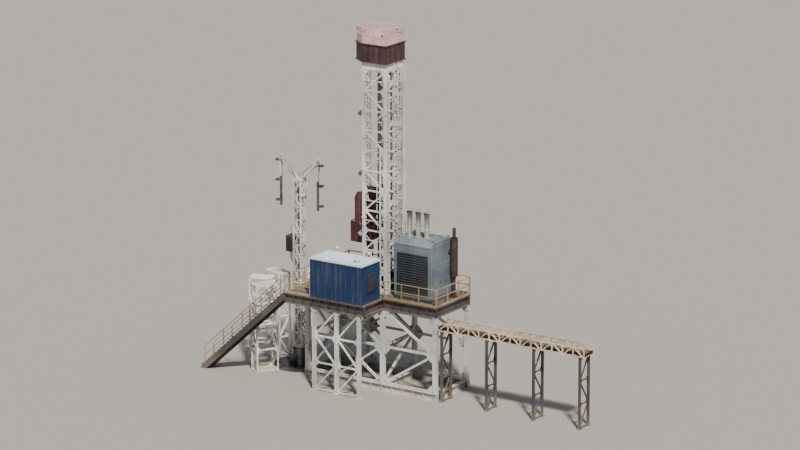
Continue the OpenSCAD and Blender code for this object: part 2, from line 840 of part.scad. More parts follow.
module top_drive_carriage() {
    plate_t = 60;
    plate_h = gearbox_h + motor_h;
    shoe_x = chord_front - rail_w / 2 - shoe_gap - 40;
    rim = 150;
    hole_h = (plate_h - 4 * rim) / 3;
    color("firebrick") union() {
        difference() {
            translate([gearbox_d / 2, -carriage_y, gearbox_z]) cube([plate_t, 2 * carriage_y, plate_h]);
            for (i = [0 : 2], y = [120, 110 - carriage_y])
                translate([gearbox_d / 2 - 1, y, gearbox_z + rim + i * (hole_h + rim)])
                    cube([plate_t + 2, carriage_y - 230, hole_h]);
        }
        for (side = [-1, 1], z = [gearbox_z, gearbox_z + plate_h - shoe_h]) {
            for (x = [shoe_x, chord_front + rail_w / 2 + shoe_gap])
                translate([x, side > 0 ? carriage_y - 60 : -carriage_y - rail_d + 10, z])
                    cube([40, rail_d + 50, shoe_h]);
            translate([shoe_x, side > 0 ? carriage_y - 60 : -carriage_y, z])
                cube([gearbox_d / 2 + plate_t - shoe_x, 60, shoe_h]);
        }
    }
}

// A gear case with a narrower waist, a motor plate on top, and the drive shaft under it
module top_drive_gearbox() {
    case_h = gearbox_h * 0.45;
    plate_t = 90;
    collar_h = 130;
    stem_z = elevator_z + elevator_h + 350;
    color("firebrick") translate([0, 0, gearbox_z]) union() {
        linear_extrude(case_h) cut_plan(gearbox_d, gearbox_w, gearbox_cut);
        translate([0, 0, case_h]) linear_extrude(gearbox_h - case_h - plate_t)
            cut_plan(gearbox_d - 160, gearbox_w - 140, gearbox_cut);
        translate([0, 0, gearbox_h - plate_t]) linear_extrude(plate_t)
            cut_plan(gearbox_d, gearbox_w, gearbox_cut);
        for (z = [gearbox_h * 0.2, gearbox_h * 0.72]) translate([-gearbox_d / 2 - 20, 0, z])
            rotate([0, 90, 0]) cylinder(h = 180, d = 300, $fn = round_fn);
    }
    color("dimgray") union() {
        translate([0, 0, stem_z]) cylinder(h = gearbox_z - stem_z, d = stem_d, $fn = round_fn);
        translate([0, 0, gearbox_z - collar_h]) cylinder(h = collar_h, d = stem_d + 180, $fn = round_fn);
        translate([0, 0, stem_z + 120]) cylinder(h = 200, d = stem_d + 70, $fn = round_fn);
    }
}

// Two upright motors, each with a base flange, an end bell and a blower on top
module top_drive_motors() {
    blower_h = 240;
    bell_h = 90;
    color("darkred") for (side = [-1, 1]) translate([0, side * motor_y, motor_z]) union() {
        cylinder(h = 50, d = motor_d + 20, $fn = round_fn);
        cylinder(h = motor_h - blower_h, d = motor_d - 30, $fn = round_fn);
        translate([0, 0, motor_h - blower_h - bell_h]) cylinder(h = bell_h, d = motor_d, $fn = round_fn);
        translate([0, 0, motor_h - blower_h]) cylinder(h = blower_h, d = motor_d - 100, $fn = round_fn);
        translate([-motor_d / 2 - 110, -120, 330]) cube([180, 240, 340]);
        translate([-motor_d / 2 - 60, -100, motor_h - blower_h + 30])
            cube([motor_d / 2 + 60, 200, blower_h - 60]);
    }
}

// The yoke: two pinned arms, a cross beam and the sockets that hold the ropes' ends
module top_drive_yoke() {
    beam_y = gearbox_w + 2 * arm_t;
    color("darkred") union() {
        translate([-yoke_l / 2, 0, yoke_z]) rotate([90, 0, 90]) linear_extrude(yoke_l)
            polygon([[-beam_y / 2, 0], [-beam_y / 2 + arm_t, 0], [-beam_y / 2 + arm_t + 90, 60],
                [beam_y / 2 - arm_t - 90, 60], [beam_y / 2 - arm_t, 0], [beam_y / 2, 0],
                [beam_y / 2, yoke_beam_h - 80], [beam_y / 2 - 80, yoke_beam_h],
                [80 - beam_y / 2, yoke_beam_h], [-beam_y / 2, yoke_beam_h - 80]]);
        for (side = [-1, 1]) translate([0, side > 0 ? gearbox_w / 2 : -gearbox_w / 2 - arm_t, 0]) {
            translate([-arm_w / 2, 0, arm_pin_z]) cube([arm_w, arm_t, yoke_z - arm_pin_z]);
            translate([0, arm_t, arm_pin_z]) rotate([90, 0, 0])
                cylinder(h = arm_t, d = arm_pin_d, $fn = round_fn);
        }
        for (row = rope_rows) translate([0, row * sheave_pitch, yoke_z + yoke_beam_h - 1])
            cylinder(h = socket_h + 1, d1 = 3 * rope_d, d2 = 2 * rope_d, $fn = 24);
    }
}

// Two links with eyes, and the elevator with its ears and latch round the pipe's hole
module elevator_links() {
    eye_r = link_d * 1.4;
    top = elevator_z + elevator_h;
    color("dimgray") {
        for (side = [-1, 1]) intersection() {
            translate([0, side * link_y, 0]) union() {
                translate([0, 0, top]) cylinder(h = gearbox_z - top, d = link_d, $fn = round_fn);
                for (z = [top + eye_r * 0.7, gearbox_z - eye_r * 0.8]) translate([0, 0, z]) rotate([0, 90, 0])
                    cylinder(h = link_d * 0.9, r = eye_r, center = true, $fn = round_fn);
            }
            translate([-eye_r, side * link_y - eye_r, top]) cube([2 * eye_r, 2 * eye_r, gearbox_z - top]);
        }
        difference() {
            union() {
                translate([0, 0, elevator_z]) linear_extrude(elevator_h)
                    cut_plan(460, 2 * link_y - 100, 110);
                translate([-90, -link_y - 90, elevator_z + 60])
                    cube([180, 2 * link_y + 180, elevator_h - 60]);
                translate([-290, -60, elevator_z + 50]) cube([120, 120, elevator_h - 100]);
            }
            translate([0, 0, elevator_z - 1]) cylinder(h = elevator_h + 2, d = 180, $fn = round_fn);
        }
    }
}

module power_unit_skid() {
    rail = 200;
    color("dimgray") translate([power_x, 0, floor_z]) linear_extrude(power_skid_h) union() {
        for (side = [-1, 1]) translate([0, side * (power_w / 2 - rail / 2) - rail / 2])
            square([power_l, rail]);
        for (i = [0 : 3]) translate([i * (power_l - 150) / 3, -power_w / 2]) square([150, power_w]);
    }
}

// The housing with its bevelled roof edges and raised doors on the rear end
module power_unit_housing() {
    b = power_bevel;
    h = power_h - power_skid_h;
    split = 30;
    jamb = 135;
    leaf = (power_w - 2 * jamb - split) / 2;
    leaf_h = 1950;
    leaf_t = 35;
    color("slategray") translate([power_x, 0, floor_z + power_skid_h]) union() {
        rotate([90, 0, 90]) linear_extrude(power_l) polygon([[-power_w / 2, 0], [power_w / 2, 0],
            [power_w / 2, h - b], [power_w / 2 - b, h], [-power_w / 2 + b, h], [-power_w / 2, h - b]]);
        for (y = [-leaf - split / 2, split / 2])
            translate([power_l - 1, y, 120]) cube([leaf_t + 1, leaf, leaf_h]);
    }
}

// A framed bank of sloping blades on each long side of the housing
module power_unit_louvres() {
    rim = 70;
    depth = 80;
    pitch = (louvre_h - 2 * rim) / louvre_blades;
    color("darkslategray") for (side = [-1, 1])
        translate([power_x + louvre_margin, side * power_w / 2, floor_z + power_skid_h + louvre_margin])
            mirror([0, side > 0 ? 0 : 1, 0]) union() {
                rotate([90, 0, 0]) mirror([0, 0, 1]) linear_extrude(depth) difference() {
                    square([louvre_l, louvre_h]);
                    translate([rim, rim]) square([louvre_l - 2 * rim, louvre_h - 2 * rim]);
                }
                for (i = [0 : louvre_blades - 1]) translate([rim - 1, 0, rim + (i + 0.5) * pitch])
                    rotate([90, 0, 90]) linear_extrude(louvre_l - 2 * rim + 2)
                        polygon([[0, 0.3 * pitch], [depth - 10, -0.45 * pitch], [depth - 10, -0.25 * pitch],
                            [0, 0.5 * pitch]]);
            }
}

// Three stacks with collars at the roof, a band half way up and a lip at the top
module power_unit_stacks() {
    color("silver") for (share = [0.2, 0.43, 0.66])
        translate([power_x + share * power_l, -power_w / 8, power_top]) union() {
            cylinder(h = stack_h, d = stack_d, $fn = round_fn);
            cylinder(h = 80, d = stack_d + 100, $fn = round_fn);
            translate([0, 0, stack_h / 2]) cylinder(h = 60, d = stack_d + 40, $fn = round_fn);
            translate([0, 0, stack_h - 70]) cylinder(h = 70, d = stack_d + 60, $fn = round_fn);
        }
}

// The upright exhaust silencer behind the housing, on its own post
module exhaust_silencer() {
    low = 1300;
    body_h = 2300;
    outlet_h = 600;
    inlet_drop = 900;
    pipe_d = silencer_d * 0.45;
    color("saddlebrown") translate([silencer_x, silencer_y, floor_z]) union() {
        translate([-silencer_d / 2, -silencer_d / 2, 0]) cube([silencer_d, silencer_d, foot_t]);
        cylinder(h = low + 1, d = pipe_d, $fn = round_fn);
        translate([0, 0, low]) cylinder(h = body_h, d = silencer_d, $fn = round_fn);
        translate([0, 0, low + body_h - 1]) cylinder(h = outlet_h, d = pipe_d, $fn = round_fn);
        translate([power_x + power_l - silencer_x, 0, low + body_h - inlet_drop]) rotate([0, 90, 0])
            cylinder(h = silencer_x - power_x - power_l, d = pipe_d, $fn = round_fn);
    }
}

module bridge_sides() {
    color("tan") for (y = [bridge_y, bridge_y + bridge_w - bridge_t])
        translate([bridge_x, y + bridge_t, bridge_z]) rotate([90, 0, 0]) linear_extrude(bridge_t) {
            for (z = [0, bridge_h - bridge_t]) translate([0, z]) square([bridge_l, bridge_t]);
            mirror([1, -1]) lattice_plan(bridge_h, bridge_l, 14, bridge_t);
        }
}

module bridge_tray() {
    inner = bridge_w - 2 * bridge_t;
    color("tan") translate([bridge_x, bridge_y + bridge_t, bridge_z]) union() {
        cube([bridge_l, inner, tray_t]);
        for (i = [0 : sleepers - 1]) translate([(i + 0.5) * bridge_l / sleepers - sleeper_t, 0, tray_t - 1])
            cube([2 * sleeper_t, inner, sleeper_t + 1]);
    }
}

// Two legs each, with foot plates and a lattice whose bars end inside the legs
module bridge_trestles() {
    plate = 2 * brace_t;
    bite = 30;
    color("dimgray") for (share = trestle_x)
        translate([bridge_x + share * bridge_l, bridge_y, 0]) union() {
            for (y = [0, bridge_w - brace_t]) {
                translate([-brace_t / 2, y, 0]) cube([brace_t, brace_t, bridge_z]);
                translate([-plate / 2, y - (plate - brace_t) / 2, 0]) cube([plate, plate, foot_t]);
            }
            translate([0, brace_t - bite, foot_t]) rotate([0, 0, 90])
                lattice(bridge_w - 2 * (brace_t - bite), bridge_z - foot_t, 3, bridge_t);
        }
}

// Four flanged pipes that lie on the tray's bars
module bridge_lines() {
    color("dimgray") for (i = [0 : 3])
        translate([bridge_x, bridge_y + bridge_t + line_gap + (i + 0.5) * line_pitch, line_z])
            rotate([0, 90, 0]) union() {
                cylinder(h = bridge_l, d = line_d, $fn = 12);
                for (share = [0, 0.25, 0.5, 0.75, 1]) translate([0, 0, share * (bridge_l - 60)])
                    cylinder(h = 60, d = line_d + 60, $fn = 12);
            }
}

// The ground plate, the ribbed pedestal and the slewing motor beside it
module handler_base() {
    rib_l = 320;
    color("gray") translate([-handler_x, 0, 0]) union() {
        intersection() {
            cylinder(h = foot_t, r = bin_r, $fn = round_fn);
            translate([-bin_r, -bin_r, 0]) cube([bin_r + handler_x - floor_front, 2 * bin_r, foot_t]);
        }
        cylinder(h = slew_z, d = slew_d, $fn = round_fn);
        for (a = [30 : 60 : 330]) rotate([0, 0, a]) translate([slew_d / 2 - 20, 15, foot_t - 1])
            rotate([90, 0, 0]) linear_extrude(30)
                polygon([[0, 0], [rib_l, 0], [rib_l, 120], [0, slew_z * 0.7]]);
        translate([slew_d / 2 + 170, 0, foot_t - 1])
            cylinder(h = slew_z - foot_t - 30, d = 260, $fn = round_fn);
        translate([slew_d / 2 - 60, -130, slew_z * 0.45]) cube([230, 260, 260]);
    }
}

module handler_column() {
    t = column_t;
    corner = column_w / 2 - t;
    color("whitesmoke") translate([-handler_x, 0, slew_z]) union() {
        cylinder(h = slew_flange_t, d = slew_d, $fn = round_fn);
        for (x = [-corner - t, corner], y = [-corner - t, corner])
            translate([x, y, slew_flange_t]) cube([t, t, column_h]);
    }
}

module handler_lattice() {
    w = column_w - 2 * column_t;
    color("whitesmoke") translate([-handler_x, 0, slew_z + slew_flange_t])
        for (side = [0 : 3]) rotate([0, 0, 90 * side]) translate([-w / 2, -(column_w - column_t) / 2, 0])
            lattice(w, column_h, column_bays, column_lattice_t);
}

// The plate on the column, two arms that spread to the grip rails, and the struts under them
module handler_head() {
    foot = column_top + head_plate_t;
    strut_z = column_top - 900;
    strut_x = (head_reach - grip_t) * 0.62;
    strut_top = foot + (head_tip_z - head_arm_t / 2 - foot) * strut_x / head_reach - head_arm_t;
    pad = 120;
    color("whitesmoke") translate([-handler_x, 0, 0]) {
        translate([-column_w / 2, -column_w / 2, column_top]) cube([column_w, column_w, head_plate_t]);
        for (side = [-1, 1]) intersection() {
            bar([0, 0, foot - head_arm_t], [side * head_reach, 0, head_tip_z - head_arm_t / 2], head_arm_t);
            translate([side > 0 ? head_arm_t / 2 : -head_reach + grip_t, -head_arm_t, foot])
                cube([head_reach - grip_t - head_arm_t / 2, 2 * head_arm_t, head_tip_z - foot]);
        }
        for (side = [-1, 1]) {
            translate([side > 0 ? column_w / 2 : -column_w / 2 - pad, -column_w / 2, strut_z])
                cube([pad, column_w, pad]);
            bar([side * (column_w / 2 + pad * 0.6), 0, strut_z + pad / 2],
                [side * strut_x, 0, strut_top + pad], head_arm_t * 0.6);
        }
    }
}

module handler_grips() {
    color("dimgray") for (side = [-1, 1])
        translate([-handler_x + (side > 0 ? head_reach - grip_t : -head_reach), -grip_t / 2,
                   head_tip_z - grip_l])
            cube([grip_t, grip_t, grip_l]);
}

// Open jaws on the outer faces of the grip rails, at three heights
module handler_jaws() {
    neck = 70;
    wall = jaw_d * 0.2;
    color("dimgray") for (side = [-1, 1], share = [0.1, 0.5, 0.9])
        translate([-handler_x, 0, head_tip_z - (1 - share) * grip_l - 60])
            mirror([side > 0 ? 0 : 1, 0, 0])
            translate([head_reach, 0, 0]) union() {
                translate([0, -grip_t / 2, 0]) cube([neck + 20, grip_t, 120]);
                translate([neck + jaw_d / 2, 0, 0]) linear_extrude(120) difference() {
                    circle(d = jaw_d, $fn = round_fn);
                    circle(d = jaw_d - 2 * wall, $fn = round_fn);
                    translate([0, -jaw_d * 0.25]) square([jaw_d, jaw_d * 0.5]);
                }
            }
}

module at_bins() {
    for (a = bin_angles)
        translate([-handler_x, 0, 0]) rotate([0, 0, a]) translate([bin_r, -bin_w / 2, 0]) children();
}

// A flat ladder along X: its two posts and the rungs between them
module ladder(l, rungs) {
    union() {
        for (x = [0, l - bin_t]) translate([x, 0, 0]) cube([bin_t, bin_t, bin_h]);
        for (i = [0 : rungs - 1]) translate([0, 0, i * (bin_h - bin_t) / (rungs - 1)])
            cube([l, bin_t, bin_t]);
    }
}

module bin_sides() {
    color("gainsboro") at_bins() for (y = [0, bin_w - bin_t]) translate([0, y, 0]) ladder(bin_l, 5);
}

module bin_ends() {
    color("gainsboro") at_bins() for (x = [0, bin_l - bin_t])
        translate([x + bin_t / 2, bin_t, 0]) rotate([0, 0, 90])
            lattice(bin_w - 2 * bin_t, bin_h, 4, bin_t);
}

// Bars between the ends of a bin, along its top, that keep the pipes in rows
module bin_fingers() {
    side = 50;
    pitch = (bin_w - 2 * bin_t) / (fingers + 1);
    color("gainsboro") at_bins() for (i = [1 : fingers])
        translate([bin_t, bin_t + i * pitch - side / 2, bin_h - bin_t + 20])
            cube([bin_l - 2 * bin_t, side, side]);
}

base_frame();
substructure_legs();
substructure_bracing_sides();
substructure_bracing_ends();
floor_girders();
floor_beams();
well_beams();
floor_deck();
rotary_table();
floor_railings();
stair_stringers();
stair_treads();
stair_handrails();
cabin_posts();
cabin_post_braces();
cabin_floor();
cabin_wall_near();
cabin_wall_far();
cabin_wall_ends();
cabin_roof();
cabin_door();
cabin_windows();
mast_shoes();
mast_legs();
mast_lattice_sides();
mast_lattice_back();
mast_head_ring();
mast_ladder();
guide_rails();
head_frame();
head_sheaves();
head_guard();
hoist_ropes();
winch_ropes();
hoist_winch();
top_drive_carriage();
top_drive_gearbox();
top_drive_motors();
top_drive_yoke();
elevator_links();
power_unit_skid();
power_unit_housing();
power_unit_louvres();
power_unit_stacks();
exhaust_silencer();
bridge_sides();
bridge_tray();
bridge_trestles();
bridge_lines();
handler_base();
handler_column();
handler_lattice();
handler_head();
handler_grips();
handler_jaws();
bin_sides();
bin_ends();
bin_fingers();
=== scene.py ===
import json
import math

import bmesh
import bpy
from mathutils import Matrix, Vector


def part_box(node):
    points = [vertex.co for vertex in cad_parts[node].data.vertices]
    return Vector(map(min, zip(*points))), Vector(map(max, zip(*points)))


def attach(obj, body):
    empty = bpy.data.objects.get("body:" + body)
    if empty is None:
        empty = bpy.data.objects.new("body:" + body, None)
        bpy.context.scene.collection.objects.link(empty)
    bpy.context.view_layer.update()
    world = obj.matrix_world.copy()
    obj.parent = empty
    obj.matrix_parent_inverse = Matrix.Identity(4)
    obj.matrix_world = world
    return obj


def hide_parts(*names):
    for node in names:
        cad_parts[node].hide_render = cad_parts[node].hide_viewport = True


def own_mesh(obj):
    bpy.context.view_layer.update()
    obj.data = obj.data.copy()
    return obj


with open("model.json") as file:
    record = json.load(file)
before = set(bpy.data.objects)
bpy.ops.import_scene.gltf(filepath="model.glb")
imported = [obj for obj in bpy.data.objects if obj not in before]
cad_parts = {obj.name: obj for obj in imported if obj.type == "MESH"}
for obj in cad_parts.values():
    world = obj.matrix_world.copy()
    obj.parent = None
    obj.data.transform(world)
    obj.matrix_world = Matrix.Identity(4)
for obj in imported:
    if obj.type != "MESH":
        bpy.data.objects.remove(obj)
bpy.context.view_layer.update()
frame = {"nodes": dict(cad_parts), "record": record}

# Axes, by their number in a point
X, Y, Z = 0, 1, 2

# Both sides of a plane, an axis or a face
SIDES = (-1, 1)

# The camera stands where the photograph was taken from, with a longer lens
CAMERA_PLACE = Vector((120.3, -177.0, 65.5))
CAMERA_AIM = Vector((2.9, -1.0, 10.1))
CAMERA_LENS = 168
CAMERA_SENSOR = 36

# The light of a bright, hazy day
SKY_COLOUR = (0.80, 0.86, 0.95, 1.0)
SKY_STRENGTH = 0.42
SUN_COLOUR = (1.0, 0.96, 0.90)
SUN_STRENGTH = 4.6
SUN_FROM = Vector((0.62, -0.62, 1.05))


class Signal:
    """A shader socket that can stand in a sum with numbers and other sockets."""

    def __init__(self, finish, socket):
        self.finish = finish
        self.socket = socket

    def __add__(self, other):
        return self.finish.maths("ADD", self, other)

    def __sub__(self, other):
        return self.finish.maths("SUBTRACT", self, other)

    def __rsub__(self, other):
        return self.finish.maths("SUBTRACT", other, self)

    def __mul__(self, other):
        return self.finish.maths("MULTIPLY", self, other)

    __radd__ = __add__
    __rmul__ = __mul__


class Finish:
    """One material: its shader, and the methods that add the nodes that feed it."""

    def __init__(self, name, roughness=0.5, metallic=0.0):
        self.material = bpy.data.materials.new(name)
        self.material.use_nodes = True
        self.tree = self.material.node_tree
        self.shader = self.tree.nodes["Principled BSDF"]
        self.shader.inputs["Roughness"].default_value = roughness
        self.shader.inputs["Metallic"].default_value = metallic

    def node(self, kind, settings=None, sockets=None, output=0):
        """Adds a node with its settings and the values or links of its sockets."""
        made = self.tree.nodes.new(kind)
        for key, value in (settings or {}).items():
            setattr(made, key, value)
        for key, value in (sockets or {}).items():
            self.feed(made.inputs[key], value)
        return Signal(self, made.outputs[output])

    def feed(self, socket, value):
        """Links a signal to a socket, or sets the socket to a plain value."""
        if isinstance(value, Signal):
            self.tree.links.new(value.socket, socket)
        else:
            socket.default_value = value

    def maths(self, operation, first, second=0.0):
        return self.node("ShaderNodeMath", {"operation": operation}, {0: first, 1: second})

    def place(self, stretch):
        """Object coordinates, stretched."""
        place = self.node("ShaderNodeTexCoord", output="Object")
        return self.node("ShaderNodeMapping", None, {"Vector": place, "Scale": stretch})

    def noise(self, scale, detail=4.0, roughness=0.55, stretch=(1, 1, 1)):
        return self.node("ShaderNodeTexNoise", None, {"Vector": self.place(stretch), "Scale": scale,
                                                      "Detail": detail, "Roughness": roughness})

    def distance(self, axis):
        """How far a point lies along one axis of the rig, in metres."""
        place = self.node("ShaderNodeTexCoord", output="Object")
        return self.node("ShaderNodeSeparateXYZ", None, {0: place}, output=axis)

    def height(self):
        """The height above the rig's feet, in metres."""
        return self.distance(Z)

    def upward(self):
        """1 on faces that look up, 0 on upright ones."""
        normal = self.node("ShaderNodeTexCoord", output="Normal")
        return self.band(self.node("ShaderNodeSeparateXYZ", None, {0: normal}, output=Z), 0.35, 0.9)

    def band(self, signal, low, high):
        """0 below low, 1 above high, and smooth between them."""
        return self.node("ShaderNodeMapRange", {"interpolation_type": "SMOOTHSTEP"},
                         {"Value": signal, "From Min": low, "From Max": high})

    def mix(self, share, first, second):
        """A colour between two colours. The mix node takes colours at its sockets 6 and 7, and
        gives one at its output 2."""
        pair = [colour if isinstance(colour, Signal) else (*colour, 1.0) for colour in (first, second)]
        return self.node("ShaderNodeMix", {"data_type": "RGBA"},
                         {0: share, 6: pair[0], 7: pair[1]}, output=2)

    def bump(self, height, distance, strength=0.6):
        """Raises the surface by height times distance, in metres."""
        normal = self.node("ShaderNodeBump", None, {"Height": height, "Distance": distance,
                                                    "Strength": strength})
        self.feed(self.shader.inputs["Normal"], normal)

    def colour(self, value):
        self.feed(self.shader.inputs["Base Color"], value)

    def roughness(self, value):
        self.feed(self.shader.inputs["Roughness"], value)


# Colours of what settles on the paint and shows through it, as linear red, green and blue
DUST = (0.46, 0.37, 0.27)
MUD = (0.20, 0.15, 0.10)
RUST = (0.16, 0.055, 0.022)
RUST_PALE = (0.30, 0.13, 0.055)


def weather(finish, paint, faded, rust=0.3, dust=0.5, streak=0.5, gloss=0.45):
    """Paint that has stood outdoors: sun-bleached patches, rain streaks, rust spots, dust on its
    upper faces and low down. rust, dust and streak run from 0 to 1, and gloss is the roughness
    of the clean paint."""
    patches = finish.band(finish.noise(0.45, 3), 0.40, 0.62)
    fine = finish.noise(9.0, 5, 0.65)
    base = finish.mix(patches * 0.75 + fine * 0.25, paint, faded)
    runs = finish.band(finish.noise(2.2, 5, 0.62, (2.6, 2.6, 0.14)), 0.50, 0.70)
    base = finish.mix(runs * streak * 0.75, base, MUD)
    spots = finish.band(finish.noise(2.6, 6, 0.7) + fine * 0.25, 0.78 - rust * 0.18, 0.88 - rust * 0.12)
    trails = finish.band(finish.noise(4.2, 4, 0.6, (3.0, 3.0, 0.18)), 0.70 - rust * 0.10, 0.80)
    rusty = finish.mix(fine, RUST, RUST_PALE)
    base = finish.mix(spots, base, rusty)
    base = finish.mix(trails * rust * 0.9, base, RUST_PALE)
    settled = finish.upward() * finish.band(fine, 0.25, 0.75)
    splash = 1 - finish.band(finish.height() + finish.noise(1.1, 3) * 1.6, 0.5, 2.1)
    base = finish.mix(settled * dust * 0.75, base, DUST)
    base = finish.mix(splash * dust * 0.6, base, DUST)
    finish.colour(base)
    finish.roughness(gloss + spots * 0.35 + settled * 0.25 + fine * 0.12)
    finish.bump(fine * 0.4 + spots * 0.6, 0.004, 0.5)
    return finish


def structure_paint():
    """Grey paint of the base, legs, bracing and posts, streaked with rust."""
    return weather(Finish("worn grey structure paint"), (0.42, 0.43, 0.42), (0.62, 0.63, 0.60),
                   rust=0.45, dust=0.7, streak=0.7)


def floor_paint():
    """Dark paint of the floor, girders, stair and trestles, scuffed by boots."""
    return weather(Finish("scuffed dark floor paint"), (0.060, 0.060, 0.063), (0.13, 0.115, 0.10),
                   rust=0.5, dust=0.5, streak=0.4)


def mast_paint():
    """White paint of the mast and the pipe handler, gone chalky in the sun."""
    return weather(Finish("chalky white mast paint"), (0.46, 0.455, 0.435), (0.74, 0.73, 0.69),
                   rust=0.38, dust=0.25, streak=0.65)


def head_paint():
    """Maroon paint of the mast's head."""
    return weather(Finish("dark maroon head paint"), (0.060, 0.028, 0.036), (0.105, 0.060, 0.068),
                   rust=0.2, dust=0.25, streak=0.4)


def guard_paint():
    """Red paint of the guard on the head, bleached to pink."""
    return weather(Finish("faded red guard paint"), (0.58, 0.36, 0.35), (0.72, 0.58, 0.56),
                   rust=0.3, dust=0.3, streak=0.4)


def drive_paint():
    """Dark red paint of the top drive and its guard, with an oily sheen."""
    return weather(Finish("oily dark red drive paint"), (0.062, 0.016, 0.020), (0.115, 0.040, 0.045),
                   rust=0.12, dust=0.2, streak=0.6, gloss=0.3)


def bare_steel():
    """Oiled steel of the table, sheaves, winch, links and jaws, with rusty stains."""
    finish = Finish("oiled bare steel", 0.4, 0.85)
    fine = finish.noise(12.0, 5, 0.6)
    stain = finish.band(finish.noise(1.7, 4), 0.45, 0.7)
    clean = finish.mix(fine, (0.17, 0.17, 0.175), (0.30, 0.30, 0.30))
    finish.colour(finish.mix(stain, clean, (0.12, 0.075, 0.05)))
    finish.roughness(fine * 0.3 + stain * 0.25 + 0.25)
    finish.bump(fine, 0.002)
    return finish


def wire_rope():
    """Greased strands that wind round a rope that hangs upright."""
    finish = Finish("greased wire rope", 0.45, 0.7)
    winding = finish.distance(Z) * 228.0 + finish.distance(Y) * 160.0
    strand = finish.band(finish.maths("SINE", winding), -0.6, 0.8)
    finish.colour(finish.mix(strand, (0.035, 0.033, 0.03), (0.17, 0.165, 0.16)))
    finish.bump(strand, 0.004)
    return finish


def cabin_paint():
    """Blue paint of the cabin's walls."""
    return weather(Finish("blue cabin paint"), (0.014, 0.036, 0.098), (0.032, 0.066, 0.140),
                   rust=0.16, dust=0.3, streak=0.6, gloss=0.35)


def roof_paint():
    """Pale paint of the cabin's roof, door and window frames."""
    return weather(Finish("pale roof paint"), (0.52, 0.60, 0.66), (0.66, 0.72, 0.75),
                   rust=0.15, dust=0.35, streak=0.3)


def window_glass():
    """Dark glass with patches of dust."""
    finish = Finish("dusty window glass", 0.08)
    finish.shader.inputs["IOR"].default_value = 1.5
    dusty = finish.band(finish.noise(2.2, 5), 0.4, 0.8)
    finish.colour(finish.mix(dusty, (0.02, 0.032, 0.04), (0.16, 0.16, 0.15)))
    finish.roughness(dusty * 0.35 + 0.06)
    finish.bump(dusty, 0.0005)
    return finish


def power_paint():
    """Grey-blue paint of the power unit's housing."""
    return weather(Finish("grey-blue housing paint"), (0.110, 0.142, 0.168), (0.190, 0.228, 0.252),
                   rust=0.25, dust=0.3, streak=0.75)


def louvre_paint():
    """Near-black paint of the louvres and the valve box; its darkness is partly their own paint and partly
    painted shade.
    """
    # The near-black colours here are partly painted shade for the louvred sides, which stand in the sun.
    return weather(Finish("near-black louvre paint with painted shade"), (0.024, 0.030, 0.036), (0.052, 0.060, 0.068),
                   rust=0.1, dust=0.15, streak=0.3)


def stack_metal():
    """Bright metal of the stacks and lamps, sooty towards the stacks' tops."""
    finish = Finish("heat-stained stack metal", 0.4, 0.8)
    fine = finish.noise(8.0, 4)
    soot = finish.band(finish.height() + fine * 0.8, 10.3, 11.2)
    base = finish.mix(fine, (0.52, 0.52, 0.52), (0.70, 0.69, 0.67))
    finish.colour(finish.mix(soot * 0.7, base, (0.05, 0.045, 0.04)))
    finish.roughness(fine * 0.2 + 0.3)
    finish.bump(fine, 0.002)
    return finish


def bridge_paint():
    """Tan paint of the pipe bridge, with rust coming through."""
    return weather(Finish("rusty tan bridge paint"), (0.47, 0.36, 0.25), (0.64, 0.55, 0.45),
                   rust=0.45, dust=0.5, streak=0.6)


def line_rubber():
    """Black rubber of the hoses, lines and cables, with dust on top."""
    finish = Finish("dusty black hose", 0.75)
    fine = finish.noise(7.0, 5)
    settled = finish.upward() * finish.band(fine, 0.3, 0.7)
    rubber = finish.mix(fine, (0.012, 0.012, 0.013), (0.035, 0.033, 0.03))
    finish.colour(finish.mix(settled * 0.7, rubber, DUST))
    finish.bump(fine, 0.002)
    return finish


def rail_paint():
    """Ochre paint of the handrails, worn by hands."""
    return weather(Finish("worn ochre rail paint"), (0.27, 0.195, 0.105), (0.39, 0.315, 0.205),
                   rust=0.45, dust=0.3, streak=0.5)


def bin_paint():
    """White paint of the pipe bins, stained by rust."""
    return weather(Finish("rust-stained white bin paint"), (0.60, 0.58, 0.55), (0.80, 0.78, 0.75),
                   rust=0.45, dust=0.5, streak=0.7)


def silencer_rust():
    """Brown scale of a silencer that has been hot for years."""
    finish = Finish("heat-rusted silencer", 0.7, 0.2)
    fine = finish.noise(7.0, 6, 0.65)
    scale = finish.band(finish.noise(2.0, 5), 0.35, 0.65)
    base = finish.mix(fine, (0.058, 0.043, 0.034), (0.128, 0.090, 0.066))
    finish.colour(finish.mix(scale * 0.6, base, (0.035, 0.030, 0.028)))
    finish.roughness(fine * 0.2 + 0.6)
    finish.bump(fine, 0.004)
    return finish


MAKERS = {"structure_paint": structure_paint, "floor_paint": floor_paint, "mast_paint": mast_paint,
          "head_paint": head_paint, "guard_paint": guard_paint, "drive_paint": drive_paint,
          "steel": bare_steel, "rope_steel": wire_rope, "cabin_paint": cabin_paint,
          "roof_paint": roof_paint, "window_glass": window_glass, "power_paint": power_paint,
          "louvre_paint": louvre_paint, "stack_metal": stack_metal, "bridge_paint": bridge_paint,
          "line_rubber": line_rubber, "rail_paint": rail_paint, "bin_paint": bin_paint,
          "silencer_rust": silencer_rust}
FINISHES = {slot: maker() for slot, maker in MAKERS.items()}

# Edges that turn by more than this stay sharp
SHARP_TURN = math.radians(35)


